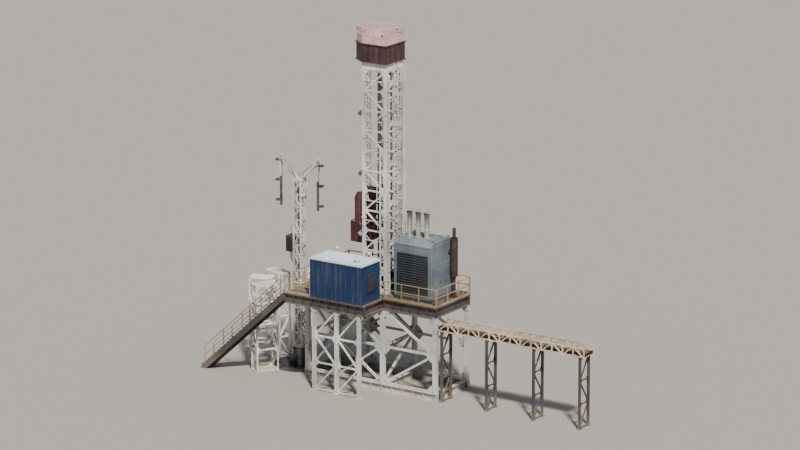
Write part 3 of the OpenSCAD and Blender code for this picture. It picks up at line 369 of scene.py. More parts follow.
class Metalwork:
    """The metal of one piece, shaped by mesh operators in metres, in the rig's own frame."""

    def __init__(self):
        self.mesh = bmesh.new()

    def soften(self, verts, edge):
        """Breaks the edges of a new shape by the width edge, or leaves them sharp at 0."""
        if edge:
            bmesh.ops.bevel(self.mesh, geom=edges_of(verts), offset=edge, offset_type="OFFSET",
                            affect="EDGES", segments=1, profile=0.5, material=-1)

    def block(self, corner, opposite, edge=0.0):
        """A box between two opposite corners, its edges broken by edge."""
        low, high = (Vector(map(pick, corner, opposite)) for pick in (min, max))
        place = Matrix.Translation((low + high) / 2) @ Matrix.Diagonal((*(high - low), 1.0))
        self.soften(bmesh.ops.create_cube(self.mesh, size=1.0, matrix=place)["verts"], edge)

    def axes(self, start, end, side=None):
        """A frame at start whose Z runs towards end and whose X is as near side as it can be."""
        along = (end - start).normalized()
        side = Vector(side or ((1, 0, 0) if abs(along.x) < 0.9 else (0, 1, 0)))
        across = (side - along * side.dot(along)).normalized()
        turn = Matrix((across, along.cross(across), along)).transposed()
        return Matrix.Translation(start) @ turn.to_4x4()

    def bar(self, start, end, width, depth, side=None, edge=0.0):
        """A square bar from start to end, width across side and depth the other way."""
        start, end = Vector(start), Vector(end)
        length = (end - start).length
        place = (self.axes(start, end, side) @ Matrix.Translation((0, 0, length / 2))
                 @ Matrix.Diagonal((width, depth, length, 1.0)))
        self.soften(bmesh.ops.create_cube(self.mesh, size=1.0, matrix=place)["verts"], edge)

    def rod(self, start, end, radius, sides=12, edge=0.0):
        """A round bar from start to end, the rims of its ends broken by edge."""
        start, end = Vector(start), Vector(end)
        length = (end - start).length
        place = self.axes(start, end) @ Matrix.Translation((0, 0, length / 2))
        made = bmesh.ops.create_cone(self.mesh, cap_ends=True, segments=sides, radius1=radius,
                                     radius2=radius, depth=length, matrix=place)
        if edge:
            rims = [rim for rim in edges_of(made["verts"])
                    if any(len(face.verts) > 4 for face in rim.link_faces)]
            bmesh.ops.bevel(self.mesh, geom=rims, offset=edge, offset_type="OFFSET", affect="EDGES",
                            segments=2, profile=0.5, material=-1)

    def bolt(self, place, axis, size):
        """A hexagon head, size across, standing on place."""
        place = Vector(place)
        self.rod(place, place + Vector(axis) * size * 0.65, size / 2, 6)

    def bolt_circle(self, centre, axis, radius, count, size, start=0.0):
        """Bolts evenly round a circle, the first at the angle start."""
        centre, axis = Vector(centre), Vector(axis)
        place = self.axes(centre, centre + axis)
        for index in range(count):
            angle = start + math.tau * index / count
            spot = Vector((radius * math.cos(angle), radius * math.sin(angle), 0))
            self.bolt(place @ spot, axis, size)

    def four_bolts(self, x, y, z, reach, size, up=1):
        """Bolts at the corners of a level square, reach from its centre each way."""
        for side_x in SIDES:
            for side_y in SIDES:
                self.bolt((x + side_x * reach, y + side_y * reach, z), (0, 0, up), size)

    def plate(self, outline, along):
        """A flat plate: its outline as points of one plane, and the vector of its thickness."""
        face = self.mesh.faces.new([self.mesh.verts.new(Vector(point)) for point in outline])
        grown = bmesh.ops.extrude_face_region(self.mesh, geom=[face])
        moved = [item for item in grown["geom"] if isinstance(item, bmesh.types.BMVert)]
        bmesh.ops.translate(self.mesh, verts=moved, vec=Vector(along))

    def lug(self, root, foot, tip, rise, thick):
        """An upright lifting lug along X: its half widths at foot and tip, and its thickness."""
        root = Vector(root)
        corners = ((-foot, 0), (foot, 0), (tip, rise), (-tip, rise))
        self.plate([root + Vector((x, 0, z)) for x, z in corners], (0, thick, 0))

    def weld(self, before):
        """Closes the seams of what was made since the mesh had this many points."""
        self.mesh.verts.ensure_lookup_table()
        bmesh.ops.remove_doubles(self.mesh, verts=self.mesh.verts[before:], dist=0.00002)

    def turned(self, profile, start, end, steps=24):
        """A shape turned on a lathe: profile holds radius and distance along the line from start."""
        before = len(self.mesh.verts)
        start, end = Vector(start), Vector(end)
        place = self.axes(start, end)
        along = (end - start).normalized()
        verts = [self.mesh.verts.new(place @ Vector((radius, 0, reach))) for radius, reach in profile]
        edges = [self.mesh.edges.new(pair) for pair in zip(verts, verts[1:])]
        bmesh.ops.spin(self.mesh, geom=verts + edges, cent=start, axis=along, dvec=(0, 0, 0),
                       angle=math.tau, steps=steps, use_merge=True)
        self.weld(before)

    def collar(self, inner, outer, thick, start, axis, steps=24):
        """A flat ring that stands on start, between two radii."""
        profile = ((inner, 0.0), (outer, 0.0), (outer, thick), (inner, thick), (inner, 0.0))
        self.turned(profile, start, Vector(start) + Vector(axis), steps)

    def tube(self, path, radius, rounding=0.0, closed=False, fineness=1):
        """A pipe, hose or round bar along a path, its corners rounded by rounding."""
        curve = bpy.data.curves.new("route", "CURVE")
        curve.dimensions = "3D"
        curve.bevel_depth = radius
        curve.bevel_resolution = fineness
        curve.use_fill_caps = not closed
        points = rounded(path, rounding)
        spline = curve.splines.new("POLY")
        spline.points.add(len(points) - 1)
        for point, place in zip(spline.points, points):
            point.co = (*place, 1.0)
        spline.use_cyclic_u = closed
        holder = bpy.data.objects.new("route", curve)
        before = len(self.mesh.verts)
        self.mesh.from_mesh(holder.to_mesh())
        self.weld(before)
        holder.to_mesh_clear()
        bpy.data.objects.remove(holder)
        bpy.data.curves.remove(curve)

    def staple(self, foot, far_foot, out, radius, rounding):
        """A round bar bent to a rung, handle or U-bolt that stands out from its two feet."""
        foot, far_foot, out = Vector(foot), Vector(far_foot), Vector(out)
        self.tube((foot, foot + out, far_foot + out, far_foot), radius, rounding)

    def ring(self, centre, axis, radius, thickness, steps=16):
        """A round bar bent to a closed ring."""
        centre = Vector(centre)
        place = self.axes(centre, centre + Vector(axis))
        angles = [math.tau * index / steps for index in range(steps)]
        path = [place @ Vector((radius * math.cos(angle), radius * math.sin(angle), 0)) for angle in angles]
        self.tube(path, thickness, closed=True)

    def copies(self, part, places):
        """Repeats another piece's metal at each place, given as a matrix."""
        mesh = bpy.data.meshes.new("copy")
        part.mesh.to_mesh(mesh)
        for place in places:
            before = len(self.mesh.verts)
            self.mesh.from_mesh(mesh)
            self.mesh.verts.ensure_lookup_table()
            bmesh.ops.transform(self.mesh, matrix=place, verts=self.mesh.verts[before:])
        bpy.data.meshes.remove(mesh)

    def finish(self, name, slot, body="root"):
        """Hands the metal over as one piece that rides on a body, in the finish of a slot."""
        bmesh.ops.recalc_face_normals(self.mesh, faces=self.mesh.faces)
        data = bpy.data.meshes.new(name)
        self.mesh.to_mesh(data)
        self.mesh.free()
        data.polygons.foreach_set("use_smooth", [True] * len(data.polygons))
        data.set_sharp_from_angle(angle=SHARP_TURN)
        piece = bpy.data.objects.new(name, data)
        bpy.context.scene.collection.objects.link(piece)
        data.materials.append(FINISHES[slot].material)
        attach(piece, body)
        return piece


def edges_of(verts):
    """Each edge of some points once, in the same order on every run."""
    return list(dict.fromkeys(rim for vert in verts for rim in vert.link_edges))


def rounded(path, radius):
    """The path's points with each inner corner replaced by an arc-like run of points."""
    path = [Vector(point) for point in path]
    if not radius or len(path) < 3:
        return path
    steps = 4
    points = [path[0]]
    for before, corner, after in zip(path, path[1:], path[2:]):
        into, out = before - corner, after - corner
        cut = min(radius, into.length * 0.5, out.length * 0.5)
        first, last = corner + into.normalized() * cut, corner + out.normalized() * cut
        for step in range(steps + 1):
            share = step / steps
            points.append(first.lerp(corner, share).lerp(corner.lerp(last, share), share))
    return points + [path[-1]]


def gusset(metal, corner, along, rise, thick, face, both=False):
    """A bolted gusset in a corner, along and rise running from it. With both, it goes against
    rise too."""
    corner, along, rise, face = Vector(corner), Vector(along), Vector(rise), Vector(face)
    rim = [(0.0, 1.0), (0.35, 0.82), (0.82, 0.35), (1.0, 0.0)]
    spots = [(0.62, 0.16), (0.30, 0.18), (0.16, 0.62), (0.42, 0.42)]
    if both:
        rim += [(a, -b) for a, b in reversed(rim[:-1])]
        spots += [(a, -b) for a, b in spots]
    else:
        rim.append((0.0, 0.0))
    metal.plate([corner + along * a + rise * b for a, b in rim], face * thick)
    head = min(along.length, rise.length) * 0.11
    for a, b in spots:
        metal.bolt(corner + along * a + rise * b + face * thick, face, head)


def border(left, right, low, high, width):
    """The four strips round an opening, each as its two spans: across and up."""
    return ((left - width, right + width, low - width, low),
            (left - width, right + width, high, high + width),
            (left - width, left, low, high), (right, right + width, low, high))


def four_ways(thick):
    """The four level directions, each with the vector of a rib's thickness across it."""
    for turn in range(4):
        out = Vector((math.cos(turn * math.pi / 2), math.sin(turn * math.pi / 2), 0))
        yield out, Vector((-out.y, out.x, 0)) * thick


def span(node, axis):
    """Where a node of the frame starts and ends along an axis, to a tenth of a millimetre."""
    return tuple(round(corner[axis], 4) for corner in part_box(node))


def middle(node, axis):
    """The middle of a node of the frame along an axis."""
    return round(sum(span(node, axis)) / 2, 4)


# Base, legs and floor
SKID_TOP = span("base_frame", Z)[1]
LEG_LINES = (-3.25, -1.10, 2.15, 5.85)
LEG_Y = 1.70
LEG_HALF = 0.13
BRACE_HALF = 0.065
GIRDER_LOW, GIRDER_TOP = span("floor_girders", Z)
FLANGE = 0.03
FLOOR = span("floor_deck", Z)[1]
FLOOR_FRONT, REAR_X = span("floor_deck", X)
FLOOR_BACK = 2.30
FLOOR_Y = span("floor_deck", Y)
TABLE_TOP = span("rotary_table", Z)[1]
STAIR_RISERS = 27
STAIR_SLOPE = math.radians(42)

# Mast and its head
CHORD_X = (0.24, 1.76)
CHORD_Y = 0.81
CHORD_HALF = 0.09
MAST_FOOT, MAST_TOP = span("mast_legs", Z)
MAST_BAYS = 11
LATTICE_HALF = 0.045
BAY = (MAST_TOP - MAST_FOOT - 2 * LATTICE_HALF) / MAST_BAYS
BAY_LEVELS = [MAST_FOOT + LATTICE_HALF + bay * BAY for bay in range(MAST_BAYS + 1)]
HEAD_LOW, HEAD_TOP = span("head_frame", Z)
HEAD_NOSE, HEAD_BACK = span("head_guard", X)
HEAD_SIDE = span("head_guard", Y)[1]

# Ropes, sheaves, winch and top drive
ROPE_ROWS = [row * 0.17 for row in (-1.5, -0.5, 0.5, 1.5)]
SHEAVE_X, SHEAVE_Z = middle("head_sheaves", X), span("hoist_ropes", Z)[1]
DRUM_X, DRUM_Z = middle("hoist_winch", X), span("winch_ropes", Z)[0]
DRIVE = "top_drive"
CASE_LOW, CASE_TOP = span("top_drive_carriage", Z)[0], span("top_drive_gearbox", Z)[1]
CASE_FRONT = span("top_drive_gearbox", X)[0]
CASE_WAIST = CASE_LOW + (CASE_TOP - CASE_LOW) * 0.45
LINK_Y = 0.33

# Cabin
CABIN_X = span("cabin_floor", X)
CABIN_Y = span("cabin_floor", Y)
CABIN_Z = span("cabin_wall_near", Z)
CABIN_DOOR_Y = (-3.28, -2.46)
CABIN_POSTS_X = (-1.35, 0.25, 1.85)
CABIN_POSTS_Y = middle("cabin_posts", Y)
POST_FOOT = 0.04

# Power unit, stacks and silencer
POWER_X = span("power_unit_skid", X)
POWER_Y = span("power_unit_skid", Y)[1]
POWER_LOW, POWER_TOP = span("power_unit_housing", Z)
EAVES = POWER_TOP - 0.26
POWER_DOOR_X = span("power_unit_housing", X)[1]
STACKS_X = (3.12, 3.718, 4.316)
STACKS_Y = -0.2875
STACKS_TOP = span("power_unit_stacks", Z)[1]
SILENCER_X, SILENCER_Y = 5.52, middle("exhaust_silencer", Y)

# Pipe bridge
BRIDGE_X = span("bridge_sides", X)
BRIDGE_LENGTH = BRIDGE_X[1] - BRIDGE_X[0]
BRIDGE_Y = span("bridge_sides", Y)
BRIDGE_LOW = span("bridge_sides", Z)[0]
BRIDGE_BAYS = 14
LINE_ROWS = [-1.5375 + 0.235 * line for line in range(4)]
LINE_Z = middle("bridge_lines", Z)
TRESTLES_X = (6.28, 9.38, 12.58, 15.68)

# Pipe handler and bins
HANDLER = "pipe_handler"
HANDLER_X = middle("handler_lattice", X)
GRIP_REACH = 1.345
BIN_HALF = 0.43
BIN_TOP = span("bin_sides", Z)[1]


def leg_plates():
    """Bolted flange plates and corner ribs at the foot and head of every leg."""
    metal = Metalwork()
    half, thick = 0.149, 0.035
    for x in LEG_LINES:
        for y in (-LEG_Y, LEG_Y):
            for z, up in ((SKID_TOP, 1), (GIRDER_LOW, -1)):
                face, rise = z + up * thick, Vector((0, 0, up * 0.22))
                metal.block((x - half, y - half, z), (x + half, y + half, face), 0.004)
                metal.four_bolts(x, y, face, 0.139, 0.03, up)
                for out, across in four_ways(0.016):
                    root = Vector((x, y, face)) + out * LEG_HALF - across / 2
                    metal.plate((root, root + out * 0.019, root + out * 0.001 + rise, root + rise), across)
    metal.finish("leg_plates", "structure_paint")


def brace_gussets():
    """Gussets where the substructure's braces meet its legs, and a plate at each crossing."""
    metal = Metalwork()
    reach, thick = 0.46, 0.018
    rise = (GIRDER_LOW - SKID_TOP - 2 * BRACE_HALF) / 2
    levels = [SKID_TOP + BRACE_HALF + level * rise for level in range(3)]
    corners = ((SKID_TOP, 0.5, False), (levels[1], 0.5, True), (GIRDER_LOW, -0.5, False))
    for face_y in SIDES:
        out = Vector((0, face_y, 0))
        plane = face_y * (LEG_Y + BRACE_HALF)
        for index, x in enumerate(LEG_LINES):
            for way in SIDES:
                if 0 <= index + way < len(LEG_LINES):
                    for z, up, both in corners:
                        gusset(metal, (x + way * LEG_HALF, plane, z), (way * reach, 0, 0), (0, 0, up),
                               thick, out, both)
        crossing = (LEG_LINES[1] + LEG_LINES[2]) / 2
        for low, high in zip(levels, levels[1:]):
            z = (low + high) / 2
            eighths = [math.pi * (k + 0.5) / 4 for k in range(8)]
            metal.plate([(crossing + 0.3 * math.cos(a), plane, z + 0.24 * math.sin(a)) for a in eighths],
                        out * thick)
            for angle in [math.pi * (k + 0.5) / 2 for k in range(4)]:
                metal.bolt((crossing + 0.17 * math.cos(angle), plane + face_y * thick,
                            z + 0.14 * math.sin(angle)), out, 0.05)
    for x, face_x in ((LEG_LINES[0] - BRACE_HALF, -1), (LEG_LINES[2] + BRACE_HALF, 1)):
        for side in SIDES:
            for z, up, both in corners:
                gusset(metal, (x, side * (LEG_Y - LEG_HALF), z), (0, -side * reach, 0), (0, 0, up),
                       thick, (face_x, 0, 0), both)
    metal.finish("brace_gussets", "structure_paint")


def skid_stiffeners():
    """Web stiffeners along the base skids, lifting eyes at their ends and hold-down brackets."""
    metal = Metalwork()
    low, high, half = FLANGE + 0.001, SKID_TOP - FLANGE - 0.001, 0.008
    for side in SIDES:
        for face in SIDES:
            y = side * LEG_Y + face * 0.012
            for index in range(13):
                x = -3.1 + index * 0.742
                metal.block((x - half, y, low), (x + half, y + face * 0.125, high))
        for x, way in ((FLOOR_FRONT, 1), (REAR_X, -1)):
            metal.block((x, side * LEG_Y - 0.15, FLANGE),
                        (x + way * 0.02, side * LEG_Y + 0.15, SKID_TOP - FLANGE), 0.003)
            metal.ring((x + way * 0.012, side * LEG_Y, 0.24), (1, 0, 0), 0.075, 0.012)
        for x in LEG_LINES:
            for way in SIDES:
                bracket = x + way * 0.21
                metal.block((bracket - 0.03, side * (LEG_Y - 0.15), 0.0),
                            (bracket + 0.03, side * (LEG_Y - 0.33), 0.05), 0.004)
    for x in LEG_LINES:
        for index in range(4):
            y = -1.2 + index * 0.8
            for face in SIDES:
                metal.block((x, y - half, low), (x + face * 0.13, y + half, high))
    metal.finish("skid_stiffeners", "structure_paint")


def girder_stiffeners():
    """Upright stiffeners between the flanges of the floor's edge girders."""
    metal = Metalwork()
    low, high, half = GIRDER_LOW + FLANGE + 0.001, GIRDER_TOP - FLANGE - 0.001, 0.009
    wide = [(FLOOR_FRONT, FLOOR_BACK, y, face) for y, face in ((-3.75, -1), (2.75, 1))]
    narrow = [(FLOOR_BACK, REAR_X, side * LEG_Y, side) for side in SIDES]
    for start, stop, y, face in wide + narrow:
        count = round((stop - start) / 0.62)
        for index in range(count + 1):
            x = start + 0.012 + (stop - start - 0.024) * index / count
            metal.block((x - half, y + face * 0.012, low), (x + half, y + face * 0.135, high))
    for y in (-3.25, -2.6, -0.9, -0.1, 0.7, 2.2):
        metal.block((-3.385, y - half, low), (-3.262, y + half, high))
    metal.finish("girder_stiffeners", "floor_paint")


def deck_plates():
    """Chequer plates laid over the deck with gaps between them, round the table and the mast."""
    metal = Metalwork()
    areas = ((-3.34, -0.70, -1.92, 2.84, 2, 4), (-3.34, -1.66, -3.84, -1.92, 1, 2),
             (-0.70, 2.24, 1.0, 2.84, 3, 2), (-0.70, 2.24, -1.88, -1.0, 3, 1),
             (2.30, 2.58, -1.78, 1.78, 1, 3), (5.24, 5.94, -1.78, 1.78, 1, 3),
             (2.58, 5.24, -1.78, -1.18, 3, 1), (2.58, 5.24, 1.18, 1.78, 3, 1))
    gap = Vector((0.008, 0.008, 0.0))
    for x0, x1, y0, y1, rows, columns in areas:
        size = Vector(((x1 - x0) / rows, (y1 - y0) / columns, 0.011))
        for row in range(rows):
            for column in range(columns):
                corner = Vector((x0 + row * size.x, y0 + column * size.y, FLOOR - 0.002))
                metal.block(corner + gap, corner + size - gap, 0.003)
    metal.finish("deck_plates", "floor_paint")


def rotary_trim():
    """Bolts, a lock ring and lifting handles on the rotary table, clear of its bore."""
    metal = Metalwork()
    flange_top = TABLE_TOP - 0.05
    metal.turned(((0.356, 0.0), (0.356, 0.012), (0.40, 0.018), (0.44, 0.012), (0.44, 0.0)),
                 (0, 0, TABLE_TOP), (0, 0, TABLE_TOP + 1), 40)
    metal.bolt_circle((0, 0, TABLE_TOP), (0, 0, 1), 0.485, 16, 0.032)
    for quarter in range(4):
        angle = math.pi / 4 + quarter * math.pi / 2
        foot = Vector((0.40 * math.cos(angle), 0.40 * math.sin(angle), TABLE_TOP + 0.012))
        metal.rod(foot, foot + Vector((0, 0, 0.03)), 0.028, 12)
    for along in (-0.62, -0.31, 0.0, 0.31, 0.62):
        for edge in (-0.62, 0.62):
            metal.bolt((along, edge, flange_top), (0, 0, 1), 0.04)
            metal.bolt((edge, along, flange_top), (0, 0, 1), 0.04)
    for side in SIDES:
        metal.staple((side * 0.52, -0.16, flange_top + 0.01), (side * 0.52, 0.16, flange_top + 0.01),
                     (0, 0, 0.08), 0.014, 0.03)
    metal.finish("rotary_trim", "steel")


def stair_gratings():
    """Bearing bars and a nosing on every tread, with bolted angle cleats under its ends."""
    metal = Metalwork()
    riser, going = FLOOR / STAIR_RISERS, FLOOR / math.tan(STAIR_SLOPE) / STAIR_RISERS
    lip = 0.03
    near, far = (corner.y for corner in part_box("stair_treads"))
    for step in range(1, STAIR_RISERS):
        x = FLOOR_FRONT - (step + 0.5) * going - lip
        z = FLOOR - step * riser
        for bar in range(6):
            bar_x = x + lip + bar * (going - lip) / 5
            metal.block((bar_x - 0.004, near + 0.01, z - 0.002), (bar_x + 0.004, far - 0.01, z + 0.014))
        metal.block((x - 0.006, near, z - 0.05), (x + 0.004, far, z + 0.016))
        for y, way in ((near, 1), (far, -1)):
            metal.block((x + 0.02, y, z - 0.075), (x + going, y + way * 0.05, z - 0.04))
            for bolt_x in (x + 0.08, x + 0.19):
                metal.bolt((bolt_x, y - way * 0.04, z - 0.02), (0, -way, 0), 0.026)
    metal.finish("stair_gratings", "floor_paint")


def rail_post_places():
    """Where the posts of the floor's handrails stand."""
    inset, landing = 0.025, 0.94
    far_pitch, front_pitch, wing_pitch, rear_pitch = 1.4125, 1.15, 1.2133, 1.1767
    places = [(FLOOR_FRONT + inset + post * far_pitch, FLOOR_Y[1] - inset) for post in range(5)]
    places += [(FLOOR_FRONT + inset, FLOOR_Y[0] + landing + inset + post * front_pitch)
               for post in range(6)]
    for post in range(4):
        x = FLOOR_BACK + 0.035 + post * wing_pitch
        places += [(x, -1.825), (x, 1.825), (REAR_X - inset, -1.765 + post * rear_pitch)]
    return places


def rail_fittings():
    """Sockets with bolted lugs at the foot of the floor's handrails, and chains at the stair's head."""
    metal = Metalwork()
    for x, y in rail_post_places():
        metal.block((x - 0.024, y - 0.024, FLOOR), (x + 0.024, y + 0.024, FLOOR + 0.14))
        for side_x, side_y in ((1, 0), (-1, 0), (0, 1), (0, -1)):
            size = Vector((0.03 + 0.03 * abs(side_x), 0.03 + 0.03 * abs(side_y), 0.014))
            low = Vector((x + side_x * 0.055 - size.x / 2, y + side_y * 0.055 - size.y / 2, FLOOR))
            high = low + size
            if low.x > FLOOR_FRONT and low.y > FLOOR_Y[0] and high.x < REAR_X and high.y < FLOOR_Y[1]:
                metal.block(low, high)
                metal.bolt(low + Vector((size.x / 2, size.y / 2, size.z)), (0, 0, 1), 0.022)
    for z in (FLOOR + 0.98, FLOOR + 0.55):
        sag = [0.10 * (1 - ((link - 5) / 5) ** 2) for link in range(11)]
        metal.tube([(FLOOR_FRONT + 0.03, FLOOR_Y[0] + 0.07 + 0.086 * link, z - sag[link])
                    for link in range(11)], 0.012)
    metal.finish("rail_fittings", "rail_paint")


def mast_gussets():
    """Bolted gussets at every node of the mast's lattices, and flange pairs where its legs join."""
    metal = Metalwork()
    reach, thick = 0.24, 0.012
    for level, z in enumerate(BAY_LEVELS):
        rise = (0, 0, -0.26 if level == MAST_BAYS else 0.26)
        both = 0 < level < MAST_BAYS
        for side in SIDES:
            plane = side * (CHORD_Y + LATTICE_HALF)
            for x, way in ((CHORD_X[0] + CHORD_HALF, 1), (CHORD_X[1] - CHORD_HALF, -1)):
                gusset(metal, (x, plane, z), (way * reach, 0, 0), rise, thick, (0, side, 0), both)
            gusset(metal, (CHORD_X[1] + LATTICE_HALF, side * (CHORD_Y - CHORD_HALF), z),
                   (0, -side * reach, 0), rise, thick, (1, 0, 0), both)
    for z in (MAST_FOOT + 3.66 * BAY, MAST_FOOT + 7.66 * BAY):
        for x in CHORD_X:
            for y in (-CHORD_Y, CHORD_Y):
                for low in (z - 0.034, z + 0.004):
                    metal.block((x - 0.118, y - 0.118, low), (x + 0.118, y + 0.118, low + 0.03), 0.003)
                metal.four_bolts(x, y, z + 0.034, 0.101, 0.028)
    metal.finish("mast_gussets", "mast_paint")


def mast_fine_bracing():
    """Light secondary bars in every bay: a middle rung and short struts to the diagonal."""
    metal = Metalwork()
    rung, strut, reach = 0.05, 0.04, 0.32
    x0, x1 = CHORD_X[0] + CHORD_HALF, CHORD_X[1] - CHORD_HALF
    y0, y1 = -CHORD_Y + CHORD_HALF, CHORD_Y - CHORD_HALF
    for level in range(MAST_BAYS):
        z = BAY_LEVELS[level] + BAY / 2
        lean = BAY * 0.26 * (1 if level % 2 == 0 else -1)
        for plane in (-CHORD_Y, CHORD_Y):
            metal.bar((x0, plane, z), (x1, plane, z), rung, rung)
            for x, way in ((x0, 1), (x1, -1)):
                metal.bar((x, plane, z + way * lean), (x + way * reach, plane, z), strut, strut)
        back = CHORD_X[1]
        metal.bar((back, y0, z), (back, y1, z), rung, rung)
        for y, way in ((y0, 1), (y1, -1)):
            metal.bar((back, y, z + way * lean), (back, y + way * reach, z), strut, strut)
    metal.finish("mast_fine_bracing", "mast_paint")


def ladder_cage():
    """Safety hoops and upright straps round the mast's ladder, from above head height."""
    metal = Metalwork()
    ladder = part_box("mast_ladder")
    face, half = ladder[1].x, (ladder[1].y - ladder[0].y) / 2
    low, high = FLOOR + 2.3, ladder[1].z - 0.1
    angles = [math.radians(-140 + 28 * k) for k in range(11)]
    arc = [(face + 0.30 + 0.29 * math.cos(angle), 0.33 * math.sin(angle)) for angle in angles]
    hoop = [(face, -half + 0.02)] + arc + [(face, half - 0.02)]
    for z in [low + (high - low) * level / 13 for level in range(14)]:
        metal.tube([(x, y, z) for x, y in hoop], 0.014)
    for strap in (2, 4, 5, 6, 8):
        x, y = arc[strap]
        metal.bar((x, y, low), (x, y, high), 0.03, 0.012, side=(0, 1, 0))
    metal.finish("ladder_cage", "mast_paint")


def mast_standpipe():
    """The standpipe up the mast's near side, with its flanges, U-bolts and gooseneck."""
    metal = Metalwork()
    x, y = 1.48, -(CHORD_Y + 0.16)
    neck_x, neck_y = x - 0.42, y + 0.02
    top = 14.2
    metal.tube(((x, y, FLOOR + 0.25), (x, y, top), (x, neck_y, top + 0.35), (neck_x, neck_y, top + 0.35),
                (neck_x, neck_y, top - 0.05)), 0.057, 0.24, fineness=2)
    for z in (FLOOR + 0.28, FLOOR + 0.55, 9.4, 13.0):
        for low, high in ((0.0, 0.028), (0.034, 0.062)):
            metal.turned(((0.0, low), (0.088, low), (0.088, high), (0.0, high)),
                         (x, y, z), (x, y, z + 1), 16)
        metal.bolt_circle((x, y, z + 0.062), (0, 0, 1), 0.072, 8, 0.02)
    metal.rod((neck_x, neck_y, top - 0.12), (neck_x, neck_y, top - 0.03), 0.085, 8, edge=0.008)
    metal.block((x - 0.12, y - 0.10, FLOOR + 0.009), (x + 0.12, y + 0.10, FLOOR + 0.25), 0.02)
    for z in BAY_LEVELS[1:7]:
        metal.block((x - 0.075, y - 0.07, z - 0.03), (x + 0.075, -CHORD_Y - LATTICE_HALF, z + 0.03), 0.006)
        metal.staple((x - 0.06, y + 0.04, z), (x + 0.06, y + 0.04, z), (0, -0.102, 0), 0.010, 0.05)
    metal.finish("mast_standpipe", "structure_paint")


def mast_cable_tray():
    """The tray up the mast's far side, and the cables in it."""
    tray = Metalwork()
    face = CHORD_Y + LATTICE_HALF
    y = face + 0.03
    for edge in (0.75, 1.05):
        tray.bar((edge, y + 0.03, FLOOR + 0.3), (edge, y + 0.03, MAST_TOP - 0.2), 0.012, 0.07)
    for rung in range(44):
        z = FLOOR + 0.4 + rung * 0.3
        tray.bar((0.756, y + 0.02, z), (1.044, y + 0.02, z), 0.03, 0.012)
    for z in BAY_LEVELS[::2]:
        tray.block((0.70, face, z - 0.02), (1.10, y + 0.02, z + 0.02))
    tray.finish("mast_cable_tray", "mast_paint")

    cables = Metalwork()
    rise = (MAST_TOP - FLOOR - 0.5) / 14
    places = ((0.80, 0.018), (0.845, 0.022), (0.90, 0.015), (0.95, 0.024), (1.005, 0.016))
    for cable, (x, radius) in enumerate(places):
        cables.tube([(x + 0.006 * math.sin(cable * 2.1 + k * 1.3), y + 0.026 + radius,
                      FLOOR + 0.06 + rise * k) for k in range(15)], radius)
    cables.finish("mast_cables", "line_rubber")


def mast_back_lines():
    """Air and fuel lines up the mast's back, on clamps at its rungs, with a junction box at the foot."""
    lines, clamps = Metalwork(), Metalwork()
    face = CHORD_X[1] + LATTICE_HALF
    x, high = face + 0.055, MAST_TOP - 0.3
    for y, radius, top in ((-0.62, 0.038, high), (-0.52, 0.03, high), (0.50, 0.042, 16.8),
                           (0.62, 0.03, high)):
        lines.tube(((x, y, FLOOR + 0.012), (x, y, top), (x - 0.15, y, top + 0.1)), radius, 0.08, fineness=2)
    for z in BAY_LEVELS[1:MAST_BAYS]:
        for y0, y1 in ((-0.69, -0.46), (0.43, 0.69)):
            clamps.block((face, y0, z - 0.03), (x - 0.02, y1, z + 0.03), 0.004)
            clamps.block((x + 0.026, y0, z - 0.022), (x + 0.034, y1, z + 0.022), 0.002)
            for y in (y0 + 0.02, y1 - 0.02):
                clamps.bolt((x + 0.034, y, z), (1, 0, 0), 0.022)
    leg_face = CHORD_X[1] + CHORD_HALF
    clamps.block((leg_face, 0.32, FLOOR + 1.2), (leg_face + 0.14, 0.42, FLOOR + 1.75), 0.012)
    lines.finish("mast_back_lines", "structure_paint")
    clamps.finish("mast_line_clamps", "steel")


def head_fittings():
    """Flange bolts, lifting lugs and back rungs of the mast's head."""
    metal = Metalwork()
    rim = 0.034
    for z in (HEAD_LOW + 0.05, HEAD_TOP):
        for index in range(9):
            for side in SIDES:
                metal.bolt((0.34 + index * 0.19, side * (HEAD_SIDE + rim), z), (0, 0, 1), 0.032)
        for index in range(9):
            metal.bolt((HEAD_BACK + rim, -0.88 + index * 0.22, z), (0, 0, 1), 0.032)
            metal.bolt((HEAD_NOSE - rim, -0.36 + index * 0.09, z), (0, 0, 1), 0.026)
    for x in (0.34, 1.78):
        for side in SIDES:
            metal.lug((x, side * 0.955, HEAD_TOP), 0.10, 0.06, 0.13, -side * 0.025)
    for rung in range(5):
        z = HEAD_LOW + 0.14 + rung * 0.2
        metal.staple((HEAD_BACK, 0.62, z), (HEAD_BACK, 0.86, z), (0.09, 0, 0), 0.012, 0.03)
    metal.finish("head_fittings", "head_paint")


def sheave_caps():
    """Bearing caps on the ends of the sheaves' shaft, and rope keepers over the sheaves."""
    caps = Metalwork()
    for side in SIDES:
        bearing = side * 0.38
        caps.turned(((0.0, 0.0), (0.15, 0.0), (0.15, 0.03), (0.10, 0.055), (0.0, 0.055)),
                    (SHEAVE_X, bearing + side * 0.027, SHEAVE_Z), (SHEAVE_X, bearing + side * 2, SHEAVE_Z))
        caps.bolt_circle((SHEAVE_X, bearing + side * 0.057, SHEAVE_Z), (0, side, 0), 0.125, 8, 0.026)
    for angle in (35, 90, 145):
        x = SHEAVE_X + 0.515 * math.cos(math.radians(angle))
        z = SHEAVE_Z + 0.515 * math.sin(math.radians(angle))
        caps.rod((x, -0.353, z), (x, 0.353, z), 0.013, 8)
    caps.finish("sheave_caps", "steel")


